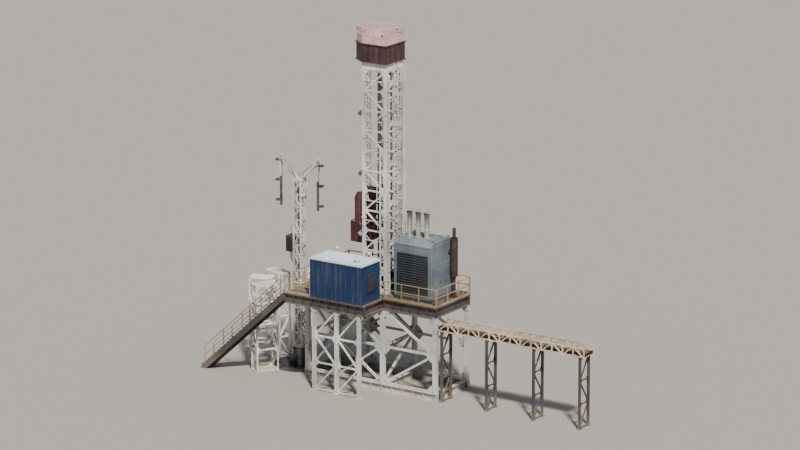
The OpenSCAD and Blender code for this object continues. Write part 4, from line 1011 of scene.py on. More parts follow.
def head_grating():
    """Open grating inside the guard, along both sides of the sheaves."""
    metal = Metalwork()
    z = HEAD_TOP - 0.21
    for bar in range(24):
        y = 0.43 + bar * 0.022
        front = 0.33 if y > 0.86 else -0.10 if y > 0.62 else -0.36
        for side in SIDES:
            metal.block((front, side * y - 0.003, z), (1.85, side * y + 0.003, z + 0.03))
    for bar in range(12):
        x = 0.34 + bar * 0.135
        for side in SIDES:
            metal.block((x - 0.004, side * 0.415, z + 0.004), (x + 0.004, side * 0.945, z + 0.026))
    metal.finish("head_grating", "steel")


def guard_pickets():
    """Upright pickets between the rails of the guard on the mast's head."""
    rails = Metalwork()
    base, top = (corner.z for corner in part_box("head_guard"))
    corners = [(-0.495, -0.455), (0.265, -0.975), (1.885, -0.975), (1.885, 0.975), (0.265, 0.975),
               (-0.495, 0.455)]
    for (x0, y0), (x1, y1) in zip(corners, corners[1:] + corners[:1]):
        count = max(2, round(math.dist((x0, y0), (x1, y1)) / 0.115))
        for index in range(1, count):
            x, y = x0 + (x1 - x0) * index / count, y0 + (y1 - y0) * index / count
            rails.rod((x, y, base + 0.48), (x, y, top - 0.045), 0.008, 6)
    rails.finish("guard_pickets", "guard_paint")


def head_beacon():
    """The warning light on the guard's back rail."""
    light = Metalwork()
    x, y, top = 1.885, 0.2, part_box("head_guard")[1].z
    light.rod((x, y, top - 0.3), (x, y, top - 0.12), 0.016, 8)
    light.turned(((0.0, 0.0), (0.05, 0.0), (0.05, 0.012), (0.042, 0.016), (0.042, 0.075), (0.024, 0.1),
                  (0.0, 0.106)), (x, y, top - 0.12), (x, y, top + 1), 16)
    light.finish("head_beacon", "head_paint")


def floodlight(metal, glass, place, aim, width=0.34):
    """A flat lamp with cooling ribs on its back, its window on the side that it aims at."""
    place, aim = Vector(place), Vector(aim).normalized()
    lamp = metal.axes(place, place + aim, (0, 0, 1))
    half = width / 2

    def slab(into, reach, low, high, start, thick):
        corners = ((-reach, low), (reach, low), (reach, high), (-reach, high))
        into.plate([lamp @ Vector((u, v, start)) for u, v in corners], aim * thick)

    slab(metal, half * 0.7, -half, half, 0.0, 0.05)
    slab(metal, half * 0.55, -half * 0.85, half * 0.85, 0.0, -0.05)
    for index in range(6):
        rib = -half * 0.7 + index * half * 0.28
        slab(metal, half * 0.5, rib, rib + 0.008, -0.05, -0.03)
    slab(glass, half * 0.6, -half * 0.9, half * 0.9, 0.046, 0.012)


def mast_floodlights():
    """Floodlights on brackets up the mast, with their windows."""
    metal, glass = Metalwork(), Metalwork()
    x = CHORD_X[0] - CHORD_HALF
    for bay in (3, 6, 9):
        z = MAST_FOOT + bay * BAY
        for side in SIDES:
            root = side * (CHORD_Y + CHORD_HALF - 0.03)
            tip, hook = root + side * 0.27, root + side * 0.26
            metal.block((x, root, z), (x + 0.05, tip, z + 0.05), 0.004)
            floodlight(metal, glass, (x + 0.02, tip, z - 0.12), (-0.75, side * 0.35, -0.75))
            metal.bar((x + 0.025, hook, z), (x + 0.025, hook, z - 0.14), 0.03, 0.03)
    metal.finish("mast_floodlights", "stack_metal")
    glass.finish("mast_floodlight_windows", "window_glass")


def hoist_wires():
    """The four hoist ropes, in place of the frame's own ropes, which are hidden."""
    ropes = Metalwork()
    low, high = (corner.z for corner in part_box("hoist_ropes"))
    length = high - low
    for y in ROPE_ROWS:
        ropes.tube([(0.0, y, low + length * k / 24) for k in range(25)], 0.016, fineness=2)
    piece = ropes.finish("hoist_wires", "rope_steel")
    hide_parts("hoist_ropes")
    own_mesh(piece)


def drum_windings():
    """Turns of rope on the winch's drum, below each fall of rope."""
    windings = Metalwork()
    for row in ROPE_ROWS:
        for turn in range(4):
            y = row - 0.054 + turn * 0.036
            if abs(y) < 0.335:
                windings.ring((DRUM_X, y, DRUM_Z), (0, 1, 0), 0.3165, 0.0165, 32)
    windings.finish("drum_windings", "rope_steel")


def winch_details():
    """Flange bolts, end caps, fins, brake boxes, foot bolts and tie rods of the winch."""
    metal = Metalwork()
    for side in SIDES:
        face, axis = side * 0.44, (0, side, 0)
        metal.bolt_circle((DRUM_X, face + side * 0.09, DRUM_Z), axis, 0.225, 12, 0.03)
        metal.turned(((0.0, 0.0), (0.13, 0.0), (0.13, 0.016), (0.06, 0.026), (0.0, 0.026)),
                     (DRUM_X, side * 0.70, DRUM_Z), (DRUM_X, side * 2, DRUM_Z))
        for x in (DRUM_X - 0.36, DRUM_X + 0.36):
            for y in (0.398, 0.422):
                metal.bolt((x, side * y, FLOOR + 0.12), (0, 0, 1), 0.03)
        for fin in range(9):
            metal.collar(0.168, 0.182, 0.007, (DRUM_X, side * (0.545 + fin * 0.017), DRUM_Z), axis)
        metal.block((DRUM_X + 0.10, side * 0.45, DRUM_Z + 0.20),
                    (DRUM_X + 0.26, side * 0.52, DRUM_Z + 0.33), 0.01)
        metal.block((DRUM_X - 0.09, side * 0.56, DRUM_Z + 0.165),
                    (DRUM_X + 0.09, side * 0.68, DRUM_Z + 0.25), 0.012)
    for z in (DRUM_Z + 0.16, DRUM_Z + 0.30):
        metal.rod((DRUM_X - 0.17, -0.38, z), (DRUM_X - 0.17, 0.38, z), 0.018, 10)
    metal.finish("winch_details", "steel")


def gearbox_details():
    """Bolted covers, flange bolts and ribs of the top drive's gear case."""
    metal = Metalwork()
    for z in (CASE_LOW + 0.23, CASE_LOW + 0.828):
        metal.bolt_circle((CASE_FRONT, 0, z), (-1, 0, 0), 0.125, 8, 0.03)
        metal.turned(((0.0, 0.0), (0.085, 0.0), (0.07, 0.02), (0.0, 0.024)),
                     (CASE_FRONT, 0, z), (CASE_FRONT - 1, 0, z), 20)
    for z, up in ((CASE_WAIST, 1), (CASE_TOP - 0.09, -1)):
        for index in range(5):
            metal.bolt((-0.35, -0.32 + index * 0.16, z), (0, 0, up), 0.034)
        for index in range(4):
            for y in (-0.415, 0.415):
                metal.bolt((-0.24 + index * 0.15, y, z), (0, 0, up), 0.034)
    for side in SIDES:
        inner, outer = side * 0.38, side * 0.445
        for x in (-0.228, -0.008, 0.212):
            metal.plate(((x, inner, CASE_WAIST), (x, outer, CASE_WAIST), (x, inner, CASE_WAIST + 0.35)),
                        (0.016, 0, 0))
    for y in (-0.308, -0.158, 0.142, 0.292):
        metal.plate(((-0.31, y, CASE_WAIST), (-0.385, y, CASE_WAIST), (-0.31, y, CASE_WAIST + 0.28)),
                    (0, 0.016, 0))
    metal.finish("gearbox_details", "drive_paint", DRIVE)


def motor_fins():
    """Cooling fins, flange bolts, air slots, end caps and cover bolts of the two motors."""
    motors = Metalwork()
    for side in SIDES:
        y = side * 0.215
        for index in range(28):
            angle = math.tau * index / 28
            out = Vector((math.cos(angle), math.sin(angle), 0))
            if out.x >= -0.72:
                foot = Vector((0, y, CASE_TOP + 0.09)) + out * 0.183
                motors.bar(foot, foot + Vector((0, 0, 0.70)), 0.010, 0.03, side=(-out.y, out.x, 0))
        motors.bolt_circle((0, y, CASE_TOP + 0.05), (0, 0, 1), 0.196, 12, 0.022)
        for slot in range(7):
            z = CASE_TOP + 0.935 + slot * 0.026
            motors.block((-0.268, y - 0.085, z), (-0.26, y + 0.085, z + 0.012))
        motors.turned(((0.155, 0.0), (0.155, 0.02), (0.10, 0.035), (0.0, 0.038)),
                      (0, y, CASE_TOP + 1.145), (0, y, CASE_TOP + 2), 20)
        motors.bolt_circle((-0.31, y, CASE_TOP + 0.5), (-1, 0, 0), 0.095, 4, 0.022, math.pi / 4)
    motors.finish("motor_fins", "drive_paint", DRIVE)


def drive_pins():
    """Pins and bolts of the yoke, rope pins, and the collars under the gear case."""
    pins = Metalwork()
    arm_pin, rope_pin, stem_collar, case_collar = 8.96, 11.74, 8.22, 8.56
    for side in SIDES:
        y = side * 0.51
        pins.turned(((0.0, 0.0), (0.085, 0.0), (0.085, 0.03), (0.06, 0.045), (0.0, 0.045)),
                    (0, y, arm_pin), (0, y + side, arm_pin), 20)
        for z in (9.5, 10.2, 10.9):
            pins.bolt((0.0, y, z), (0, side, 0), 0.05)
    for y in ROPE_ROWS:
        pins.rod((-0.065, y, rope_pin), (0.065, y, rope_pin), 0.016, 10)
    pins.collar(0.125, 0.14, 0.02, (0, 0, stem_collar), (0, 0, 1), 28)
    pins.collar(0.21, 0.232, 0.03, (0, 0, case_collar), (0, 0, 1), 28)
    pins.finish("drive_pins", "steel", DRIVE)


def drive_hoses():
    """Hoses down the gear case's corners and over the motors, fixed at both ends."""
    hoses = Metalwork()
    corners = ((-0.33, -0.33, 0.07), (-0.33, 0.35, 0.09), (-0.30, -0.28, 0.05), (0.30, -0.40, 0.03),
               (0.30, 0.41, 0.03))
    for x, y, reach in corners:
        way = -1 if x < 0 else 1
        hoses.tube(((x, y, CASE_TOP), (x + way * reach, y, CASE_TOP - 0.25),
                    (x + way * reach * 1.3, y * 0.96, CASE_WAIST + 0.2),
                    (x + way * 0.02, y * 0.9, CASE_WAIST - 0.05),
                    (x + way * 0.06, y * 0.85, CASE_LOW + 0.1)), 0.018, 0.15)
    for side in SIDES:
        hoses.tube(((-0.2, side * 0.3, 10.4), (-0.34, side * 0.36, 10.6), (-0.36, side * 0.40, 11.1),
                    (-0.22, side * 0.42, 11.45)), 0.02, 0.25)
    hoses.finish("drive_hoses", "line_rubber", DRIVE)


def elevator_details():
    """Eyes and tilt rams of the links, and the handles and bolts of the elevator."""
    links = Metalwork()
    upper_eye, lower_eye, ram_top, clamp = 8.575, 7.484, 8.62, 7.60
    for side in SIDES:
        y = side * LINK_Y
        links.rod((-0.06, y, upper_eye), (0.06, y, upper_eye), 0.045, 16, edge=0.006)
        links.rod((-0.055, y, lower_eye), (0.055, y, lower_eye), 0.04, 16, edge=0.006)
        links.rod((0.07, y, ram_top), (0.10, y, clamp + 0.35), 0.035, 12)
        links.rod((0.10, y, clamp + 0.37), (0.045, y, clamp + 0.06), 0.018, 10)
        links.block((-0.05, y - 0.05, clamp), (0.07, y + 0.05, clamp + 0.07), 0.01)
    for side in SIDES:
        links.tube(((-0.25, side * 0.12, 7.34), (-0.36, side * 0.12, 7.36), (-0.36, side * 0.24, 7.36),
                    (-0.21, side * 0.24, 7.34)), 0.014, 0.05)
    links.bolt_circle((0, 0, 7.41), (0, 0, 1), 0.135, 8, 0.028, 0.4)
    links.finish("elevator_details", "steel", DRIVE)


def carriage_details():
    """Bolts of the carriage's guide shoes, and its cross straps."""
    metal = Metalwork()
    for side in SIDES:
        for z in (8.72, 8.9, 10.72, 10.9):
            metal.bolt((0.15, side * 0.62, z), (-1, 0, 0), 0.035)
            metal.bolt((0.33, side * 0.665, z), (1, 0, 0), 0.03)
    back = span("top_drive_carriage", X)[1]
    for z in (8.735, 9.45, 10.17, 10.885):
        for y in (-0.5, -0.2, 0.2, 0.5):
            metal.bolt((back, y, z), (1, 0, 0), 0.034)
        metal.block((back, -0.56, z - 0.075), (back + 0.012, 0.56, z + 0.075), 0.004)
    metal.finish("carriage_details", "drive_paint", DRIVE)


def edged_panel(metal, corners, y, side, frame_bar):
    """An upright panel at y, its corners in X and Z, with a square bar along every edge."""
    for (x0, z0), (x1, z1) in zip(corners, corners[1:] + corners[:1]):
        metal.bar((x0, y, z0), (x1, y, z1), frame_bar, frame_bar, side=(0, 1, 0), edge=0.006)
    metal.plate([(x, y - side * 0.004, z) for x, z in corners], (0, side * 0.008, 0))


def motor_shields(metal):
    """Narrow shields above the guard on both sides of the motors, held by the yoke's posts."""
    front, back, low, high = -0.46, 0.02, 9.83, 11.62
    for side in SIDES:
        y = side * 0.735
        corners = ((front, low), (back, low), (back, high), (front + 0.20, high), (front, high - 0.34))
        edged_panel(metal, corners, y, side, 0.045)
        for z in (10.28, 10.73, 11.18):
            metal.bar((front + 0.02, y + side * 0.008, z), (back - 0.02, y + side * 0.008, z), 0.05, 0.02,
                      side=(0, 0, 1), edge=0.007)
            for x in (front + 0.07, back - 0.06):
                metal.bolt((x, y + side * 0.018, z), (0, side, 0), 0.03)
        for z in (10.05, 10.80, 11.45):
            metal.block((-0.085, side * 0.49, z - 0.03), (-0.025, y, z + 0.03), 0.006)
        for x in (front, back):
            metal.bar((x, y, 9.76), (x, y, low + 0.02), 0.04, 0.03, side=(0, 1, 0), edge=0.004)


def drive_guard():
    """Guard panels on both sides of the gear case, with ribs, brackets and a barred front, and the
    shields above them."""
    metal = Metalwork()
    front, back, low, high = -0.74, 0.05, 8.58, 9.78
    for side in SIDES:
        y = side * 0.76
        corners = ((front, low), (back, low), (back, high - 0.35), (back - 0.25, high), (front, high))
        edged_panel(metal, corners, y, side, 0.05)
        for rib in range(1, 5):
            x = front + rib * (back - front) / 5
            metal.bar((x, y + side * 0.010, low + 0.025), (x, y + side * 0.010, high - 0.35), 0.05, 0.02,
                      side=(1, 0, 0), edge=0.007)
        for z in (8.66, 9.06, 9.38):
            for x in (front + 0.05, back - 0.05):
                metal.bolt((x, y + side * 0.025, z), (0, side, 0), 0.034)
        for z in (8.80, 9.10):
            for x in (-0.20, 0.0):
                metal.block((x - 0.03, side * 0.44, z - 0.035), (x + 0.03, y, z + 0.035), 0.006)
    motor_shields(metal)
    nose = front - 0.06
    for z in (low + 0.03, 9.18, high):
        metal.tube(((front, -0.76, z), (nose, -0.62, z), (nose, 0.62, z), (front, 0.76, z)), 0.024, 0.1)
    for bar in range(7):
        y = -0.54 + bar * 0.18
        metal.rod((nose, y, low + 0.03), (nose, y, high), 0.011, 8)
    metal.finish("drive_guard", "drive_paint", DRIVE)


def cabin_frame():
    """Corner posts, rails and pressed ribs on the cabin's walls."""
    metal = Metalwork()
    (x0, x1), (y0, y1), (z0, z1) = CABIN_X, CABIN_Y, CABIN_Z
    proud = 0.028
    for x, way_x in ((x0, -1), (x1, 1)):
        for y, way_y in ((y0, -1), (y1, 1)):
            metal.block((x + way_x * proud, y + way_y * proud, z0 - 0.1),
                        (x - way_x * 0.10, y - way_y * 0.10, z1), 0.01)
    for z in (z0 - 0.1, z1 - 0.09):
        for y, way in ((y0, -1), (y1, 1)):
            metal.block((x0 + 0.1, y, z), (x1 - 0.1, y + way * 0.022, z + 0.09), 0.005)
        for x, way in ((x0, -1), (x1, 1)):
            metal.block((x, y0 + 0.1, z), (x + way * 0.022, y1 - 0.1, z + 0.09), 0.005)
    rib_low, rib_high = z0 + 0.02, z1 - 0.12
    for index in range(23):
        x = x0 + 0.20 + index * (x1 - x0 - 0.40) / 22
        metal.bar((x, y0 - 0.008, rib_low), (x, y0 - 0.008, rib_high), 0.055, 0.024,
                  side=(1, 0, 0), edge=0.008)
    for index in range(10):
        y = y0 + 0.20 + index * (y1 - y0 - 0.40) / 9
        low = z1 - 0.50 if 2 < index < 7 else rib_low
        metal.bar((x1 + 0.008, y, low), (x1 + 0.008, y, rib_high), 0.055, 0.024,
                  side=(0, 1, 0), edge=0.008)
        if not 2 < index < 8:
            metal.bar((x0 - 0.008, y, rib_low), (x0 - 0.008, y, rib_high), 0.055, 0.024,
                      side=(0, 1, 0), edge=0.008)
    for x in (x0 + 0.10, x1 - 0.10):
        metal.ring((x, y0 - 0.03, z1 - 0.035), (1, 0, 0), 0.028, 0.009)
    metal.finish("cabin_frame", "cabin_paint")


def cabin_window_trim(trim, seals):
    """Frames, upright bars and seals of the cabin's two windows."""
    face = CABIN_Y[1]
    low, high = CABIN_Z[0] + 0.95, CABIN_Z[0] + 1.80
    for centre in (-0.65, 1.15):
        left, right = centre - 0.575, centre + 0.575
        for a, b, c, d in border(left, right, low, high, 0.06):
            trim.block((a, face - 0.002, c), (b, face + 0.026, d), 0.006)
        for index in range(1, 6):
            x = left + index * (right - left) / 6
            trim.rod((x, face + 0.014, low), (x, face + 0.014, high), 0.010, 8)
        rim = ((left, low), (right, low), (right, high), (left, high))
        inset = 0.012
        path = [(x + inset * (1 if x == left else -1), face - 0.045, z + inset * (1 if z == low else -1))
                for x, z in rim]
        seals.tube(path + [(left + inset, face - 0.045, low + 0.02)], 0.010, 0.04)


def cabin_door_trim(trim):
    """The door's frame, hinges and handle, and the frame of its window."""
    wall, face = CABIN_X[0], CABIN_X[0] + 0.015
    near, far = CABIN_DOOR_Y
    sill = CABIN_Z[0]
    head = sill + 1.98
    for a, b, c, d in ((near - 0.07, near, sill, head), (far, far + 0.07, sill, head),
                       (near - 0.07, far + 0.07, head, head + 0.07)):
        trim.block((wall - 0.026, a, c), (wall + 0.002, b, d), 0.006)
    for z in (sill + 0.25, sill + 1.0, sill + 1.75):
        trim.rod((wall - 0.012, near + 0.012, z - 0.07), (wall - 0.012, near + 0.012, z + 0.07), 0.016, 12)
        trim.block((face - 0.012, near + 0.01, z - 0.05), (face, near + 0.14, z + 0.05), 0.003)
    grip = far - 0.10
    trim.staple((face, grip, sill + 0.92), (face, grip, sill + 1.22), (-0.05, 0, 0), 0.012, 0.03)
    for a, b, c, d in border(near + 0.18, far - 0.18, sill + 1.16, sill + 1.78, 0.04):
        trim.block((face - 0.012, a, c), (face + 0.001, b, d), 0.003)


def cabin_openings():
    """The trim of the cabin's windows and door, their seals and the door's window."""
    trim, seals = Metalwork(), Metalwork()
    cabin_window_trim(trim, seals)
    cabin_door_trim(trim)
    trim.finish("cabin_trim", "roof_paint")
    face, sill = CABIN_X[0] + 0.015, CABIN_Z[0]
    near, far = CABIN_DOOR_Y
    seals.block((face - 0.006, near + 0.18, sill + 1.16), (face + 0.002, far - 0.18, sill + 1.78), 0.001)
    seals.finish("cabin_seals", "window_glass")


def cabin_grille():
    """The louvre in the cabin's end wall, a near-black panel that also puts painted shade on that wall."""
    grille = Metalwork()
    wall = CABIN_X[1]
    left, right = CABIN_Y[0] + 0.67, CABIN_Y[0] + 1.33
    low, high = CABIN_Z[0] + 0.60, CABIN_Z[0] + 1.55
    # The near-black louvre darkens the sunlit end wall: partly painted shade.
    for a, b, c, d in border(left, right, low, high, 0.05):
        grille.block((wall - 0.002, a, c), (wall + 0.07, b, d), 0.006)
    for blade in range(13):
        z = low + 0.025 + blade * 0.072
        section = ((wall, z + 0.03), (wall + 0.055, z - 0.015), (wall + 0.055, z - 0.005), (wall, z + 0.04))
        grille.plate([(x, left, height) for x, height in section], (0, right - left, 0))
    grille.finish("cabin_grille", "louvre_paint")


def cabin_roof_fittings():
    """Ribs, gutter, lifting eyes and a vent on the cabin's roof."""
    metal = Metalwork()
    low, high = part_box("cabin_roof")
    top = high.z
    for index in range(9):
        x = low.x + 0.28 + index * (high.x - low.x - 0.56) / 8
        metal.bar((x, low.y + 0.06, top + 0.002), (x, high.y - 0.06, top + 0.002), 0.07, 0.028,
                  side=(1, 0, 0), edge=0.01)
    for x in (low.x + 0.09, high.x - 0.09):
        for y in (low.y + 0.10, high.y - 0.10):
            metal.block((x - 0.05, y - 0.05, top), (x + 0.05, y + 0.05, top + 0.012))
            metal.ring((x, y, top + 0.05), (0, 1, 0), 0.036, 0.011)
    gutter = (high.y + 0.012, top - 0.05)
    metal.tube(((low.x + 0.02, *gutter), (high.x - 0.02, *gutter)), 0.02)
    metal.turned(((0.13, 0.0), (0.13, 0.10), (0.20, 0.11), (0.20, 0.15), (0.10, 0.20), (0.0, 0.21)),
                 (1.35, -3.2, top), (1.35, -3.2, top + 1))
    metal.finish("cabin_roof_fittings", "roof_paint")


def cabin_lamps():
    """Two lamps on posts along the roof's far edge, with their windows."""
    lamps, glass = Metalwork(), Metalwork()
    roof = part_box("cabin_roof")[1]
    y = roof.y - 0.10
    for x in (-0.9, 1.4):
        lamps.rod((x, y, roof.z), (x, y, roof.z + 0.2), 0.016, 8)
        floodlight(lamps, glass, (x, y, roof.z + 0.27), (0, 0.8, -0.5), 0.26)
    lamps.finish("cabin_lamps", "stack_metal")
    glass.finish("cabin_lamp_windows", "window_glass")


def cabin_post_plates():
    """Gussets, foot bolts and ribs where the cabin's posts carry their braces."""
    metal = Metalwork()
    y = CABIN_POSTS_Y
    rise = (GIRDER_LOW - POST_FOOT - 0.09) / 3
    for index, x in enumerate(CABIN_POSTS_X):
        for way in SIDES:
            if not 0 <= index + way < len(CABIN_POSTS_X):
                continue
            for level in range(4):
                z = POST_FOOT + 0.045 + level * rise
                up = 0.24 if level < 3 else -0.24
                for face in SIDES:
                    gusset(metal, (x + way * 0.10, y + face * 0.045, z), (way * 0.22, 0, 0), (0, 0, up),
                           0.01, (0, face, 0), 0 < level < 3)
        metal.four_bolts(x, y, POST_FOOT, 0.16, 0.045)
        for out, across in four_ways(0.014):
            root = Vector((x, y, POST_FOOT)) + out * 0.10 - across / 2
            metal.plate((root, root + out * 0.045, root + Vector((0, 0, 0.2))), across)
    metal.finish("cabin_post_plates", "mast_paint")


def power_unit_frame():
    """Corner posts, rails, seams, roof hatches, lifting lugs and end ribs of the power unit."""
    metal = Metalwork()
    (x0, x1), side_y = POWER_X, POWER_Y
    for x, way in ((x0, -1), (x1, 1)):
        for side in SIDES:
            metal.block((x + way * 0.016, side * (side_y + 0.016), POWER_LOW),
                        (x - way * 0.08, side * (side_y - 0.08), EAVES), 0.008)
        for low, high in ((POWER_LOW, POWER_LOW + 0.08), (EAVES - 0.10, EAVES)):
            metal.block((x, -side_y + 0.08, low), (x + way * 0.014, side_y - 0.08, high), 0.004)
    for side in SIDES:
        for z in (POWER_LOW, EAVES - 0.07):
            metal.block((x0 + 0.08, side * side_y, z),
                        (x1 - 0.08, side * (side_y + 0.014), z + 0.07), 0.004)
        outer, inner = side * (side_y + 0.006), side * (side_y - 0.255)
        for index in range(5):
            x = x0 + 0.22 + index * 0.54
            metal.plate(((x, outer, EAVES + 0.006), (x + 0.03, outer, EAVES + 0.006),
                         (x + 0.03, inner, POWER_TOP + 0.006), (x, inner, POWER_TOP + 0.006)),
                        (0, side * 0.012, 0.012))
    for x, y, wide, deep in ((3.05, 0.42, 0.62, 0.62), (3.85, 0.42, 0.62, 0.62), (4.72, 0.0, 0.50, 1.20)):
        roof_hatch(metal, Vector((x, y, POWER_TOP)), Vector((wide / 2, deep / 2, 0)))
    for x in (x0 + 0.12, x1 - 0.12):
        for side in SIDES:
            metal.lug((x, side * 0.82, POWER_TOP), 0.08, 0.05, 0.11, side * 0.022)
    for y in (-0.72, 0.0, 0.72):
        metal.bar((x0 - 0.004, y, POWER_LOW + 0.1), (x0 - 0.004, y, EAVES - 0.11), 0.05, 0.024,
                  side=(0, 1, 0), edge=0.006)
    metal.finish("power_unit_frame", "power_paint")


def roof_hatch(metal, centre, half):
    """A hatch with a raised lid and a handle on its far side."""
    lid = half - Vector((0.03, 0.03, 0))
    metal.block(centre - half, centre + half + Vector((0, 0, 0.045)), 0.012)
    metal.block(centre - lid + Vector((0, 0, 0.045)), centre + lid + Vector((0, 0, 0.06)), 0.01)
    grip = centre + Vector((0, half.y - 0.10, 0.06))
    metal.staple(grip - Vector((0.08, 0, 0)), grip + Vector((0.08, 0, 0)), (0, 0, 0.04), 0.01, 0.025)


def power_unit_doors():
    """Hinges, pressed frames, latch rods, handles and louvre blades of the power unit's two doors."""
    doors = Metalwork()
    face, foot, head = POWER_DOOR_X, 6.05, 7.86
    for side in SIDES:
        inner, outer = side * 0.015, side * 1.015
        hinge, latch = outer + side * 0.012, inner + side * 0.14
        for z in (6.25, 6.95, 7.65):
            doors.rod((face - 0.005, hinge, z - 0.08), (face - 0.005, hinge, z + 0.08), 0.018, 12)
        left, right = sorted((inner + side * 0.10, outer - side * 0.10))
        for a, b, c, d in border(left, right, foot + 0.04, head - 0.04, 0.04):
            doors.block((face - 0.001, a, c), (face + 0.012, b, d), 0.003)
        doors.rod((face + 0.03, latch, foot - 0.05), (face + 0.03, latch, head + 0.04), 0.011, 10)
        for z in (foot + 0.01, 6.95, head - 0.02):
            doors.block((face, latch - 0.03, z - 0.03), (face + 0.045, latch + 0.03, z + 0.03), 0.005)
        doors.bar((face + 0.045, latch, 6.85), (face + 0.05, latch + side * 0.22, 6.80), 0.03, 0.014,
                  side=(0, 0, 1))
        low, high = sorted((inner + side * 0.26, outer - side * 0.22))
        for blade in range(9):
            z = 7.30 + blade * 0.045
            section = ((face, z + 0.02), (face + 0.016, z - 0.005), (face + 0.016, z + 0.002),
                       (face, z + 0.027))
            doors.plate([(x, low, height) for x, height in section], (0, high - low, 0))
    doors.finish("power_unit_doors", "power_paint")


def louvre_bars():
    """Upright bars over the power unit's side louvres, and the bolts along their frames."""
    bars = Metalwork()
    for side in SIDES:
        for x in (3.55, 4.25):
            bars.block((x - 0.03, side * POWER_Y, 6.18), (x + 0.03, side * 1.238, 8.44), 0.006)
        for x in (2.885, 4.915):
            for index in range(8):
                bars.bolt((x, side * 1.23, 6.2 + index * 0.31), (0, side, 0), 0.025)
    bars.finish("louvre_bars", "louvre_paint")


def stack_fittings():
    """Foot bolts, clamp bands and hinged rain caps of the stacks, and the stay that joins them."""
    metal = Metalwork()
    y, band = STACKS_Y, 9.9
    for index, x in enumerate(STACKS_X):
        metal.bolt_circle((x, y, POWER_TOP + 0.08), (0, 0, 1), 0.175, 10, 0.026)
        metal.ring((x, y, band), (0, 0, 1), 0.154, 0.009, 24)
        tilt = math.radians(24 + 6 * index)
        hinge = Vector((x - 0.18, y, STACKS_TOP + 0.004))
        lid = hinge + Vector((0.18 * math.cos(tilt), 0, 0.18 * math.sin(tilt)))
        up = Vector((-math.sin(tilt), 0, math.cos(tilt)))
        metal.turned(((0.0, 0.0), (0.165, 0.0), (0.165, 0.010), (0.0, 0.018)), lid, lid + up, 28)
        metal.rod(hinge + Vector((0, -0.05, 0)), hinge + Vector((0, 0.05, 0)), 0.014, 10)
        metal.bar(hinge, hinge - Vector((0.09, 0, 0.05)), 0.03, 0.02)
    stay = (y + 0.16, band + 0.12)
    metal.bar((STACKS_X[0], *stay), (STACKS_X[-1], *stay), 0.035, 0.012, side=(0, 0, 1))
    metal.finish("stack_fittings", "stack_metal")


def silencer_fittings():
    """Straps, bolted flanges and foot bolts of the exhaust silencer."""
    pipes = Metalwork()
    x, y = SILENCER_X, SILENCER_Y
    drum_low, drum_high, inlet, mouth = 7.0, 9.3, 8.4, 9.868
    for z in (7.25, 7.75, 8.75, 9.15):
        pipes.collar(0.219, 0.228, 0.05, (x, y, z), (0, 0, 1), 32)
        pipes.block((x + 0.215, y - 0.03, z + 0.005), (x + 0.262, y + 0.03, z + 0.045), 0.005)
    for z, up in ((drum_low, -1), (drum_high, 1)):
        pipes.collar(0.10, 0.16, 0.02, (x, y, z + up * 0.03), (0, 0, up))
        pipes.bolt_circle((x, y, z + up * 0.05), (0, 0, up), 0.135, 10, 0.022)
    pipes.collar(0.10, 0.155, 0.02, (POWER_X[1] + 0.015, y, inlet), (1, 0, 0))
    pipes.collar(0.099, 0.112, 0.03, (x, y, mouth), (0, 0, 1))
    pipes.bolt_circle((x, y, FLOOR + 0.04), (0, 0, 1), 0.19, 4, 0.04, math.pi / 4)
    pipes.finish("silencer_fittings", "silencer_rust")


def bridge_gussets():
    """Gussets at every node of the bridge's lattice, and bolted splice plates."""
    metal = Metalwork()
    start, low = BRIDGE_X[0], BRIDGE_LOW
    pitch = (BRIDGE_LENGTH - 0.07) / BRIDGE_BAYS
    for y, face in zip(BRIDGE_Y, SIDES):
        for index in range(BRIDGE_BAYS + 1):
            x = start + 0.035 + index * pitch
            foot, tip = (-0.10, 0.10), (0.04, -0.04)
            if index in (0, BRIDGE_BAYS):
                way = 1 if index == 0 else -1
                foot, tip = (-way * 0.03, way * 0.12), (way * 0.03, -way * 0.03)
            for z, up in ((low + 0.07, 1), (low + 0.49, -1)):
                outline = ([(x + reach, y, z) for reach in foot]
                           + [(x + reach, y, z + up * 0.10) for reach in tip])
                metal.plate(outline, (0, face * 0.010, 0))
        for x in (start + 3.34, start + 6.68):
            for z in (low + 0.005, low + 0.495):
                metal.block((x - 0.14, y, z), (x + 0.14, y + face * 0.02, z + 0.06), 0.003)
            for step in range(4):
                for z in (low + 0.035, low + 0.525):
                    metal.bolt((x - 0.105 + step * 0.07, y + face * 0.02, z), (0, face, 0), 0.028)
    metal.finish("bridge_gussets", "bridge_paint")


def line_clamps():
    """U-bolts over the bridge's lines, and the bolts of the lines' flanges."""
    clamps = Metalwork()
    radius = 0.082
    angles = [math.pi * k / 8 for k in range(9)]
    for index in range(8):
        x = BRIDGE_X[0] + (index + 0.5) * BRIDGE_LENGTH / 8
        for y in LINE_ROWS:
            arch = [(x, y + radius * math.cos(a), LINE_Z + radius * math.sin(a)) for a in angles]
            clamps.tube([(x, y + radius, LINE_Z - 0.07)] + arch + [(x, y - radius, LINE_Z - 0.07)], 0.008)
            for side in SIDES:
                clamps.bolt((x, y + side * radius, LINE_Z - 0.075), (0, 0, 1), 0.026)
    for share in (0.0, 0.25, 0.5, 0.75, 1.0):
        x = BRIDGE_X[0] + share * (BRIDGE_LENGTH - 0.06)
        for y in LINE_ROWS:
            if share < 1:
                clamps.bolt_circle((x + 0.06, y, LINE_Z), (1, 0, 0), 0.091, 6, 0.018)
            if share > 0:
                clamps.bolt_circle((x, y, LINE_Z), (-1, 0, 0), 0.091, 6, 0.018)
    clamps.finish("line_clamps", "steel")


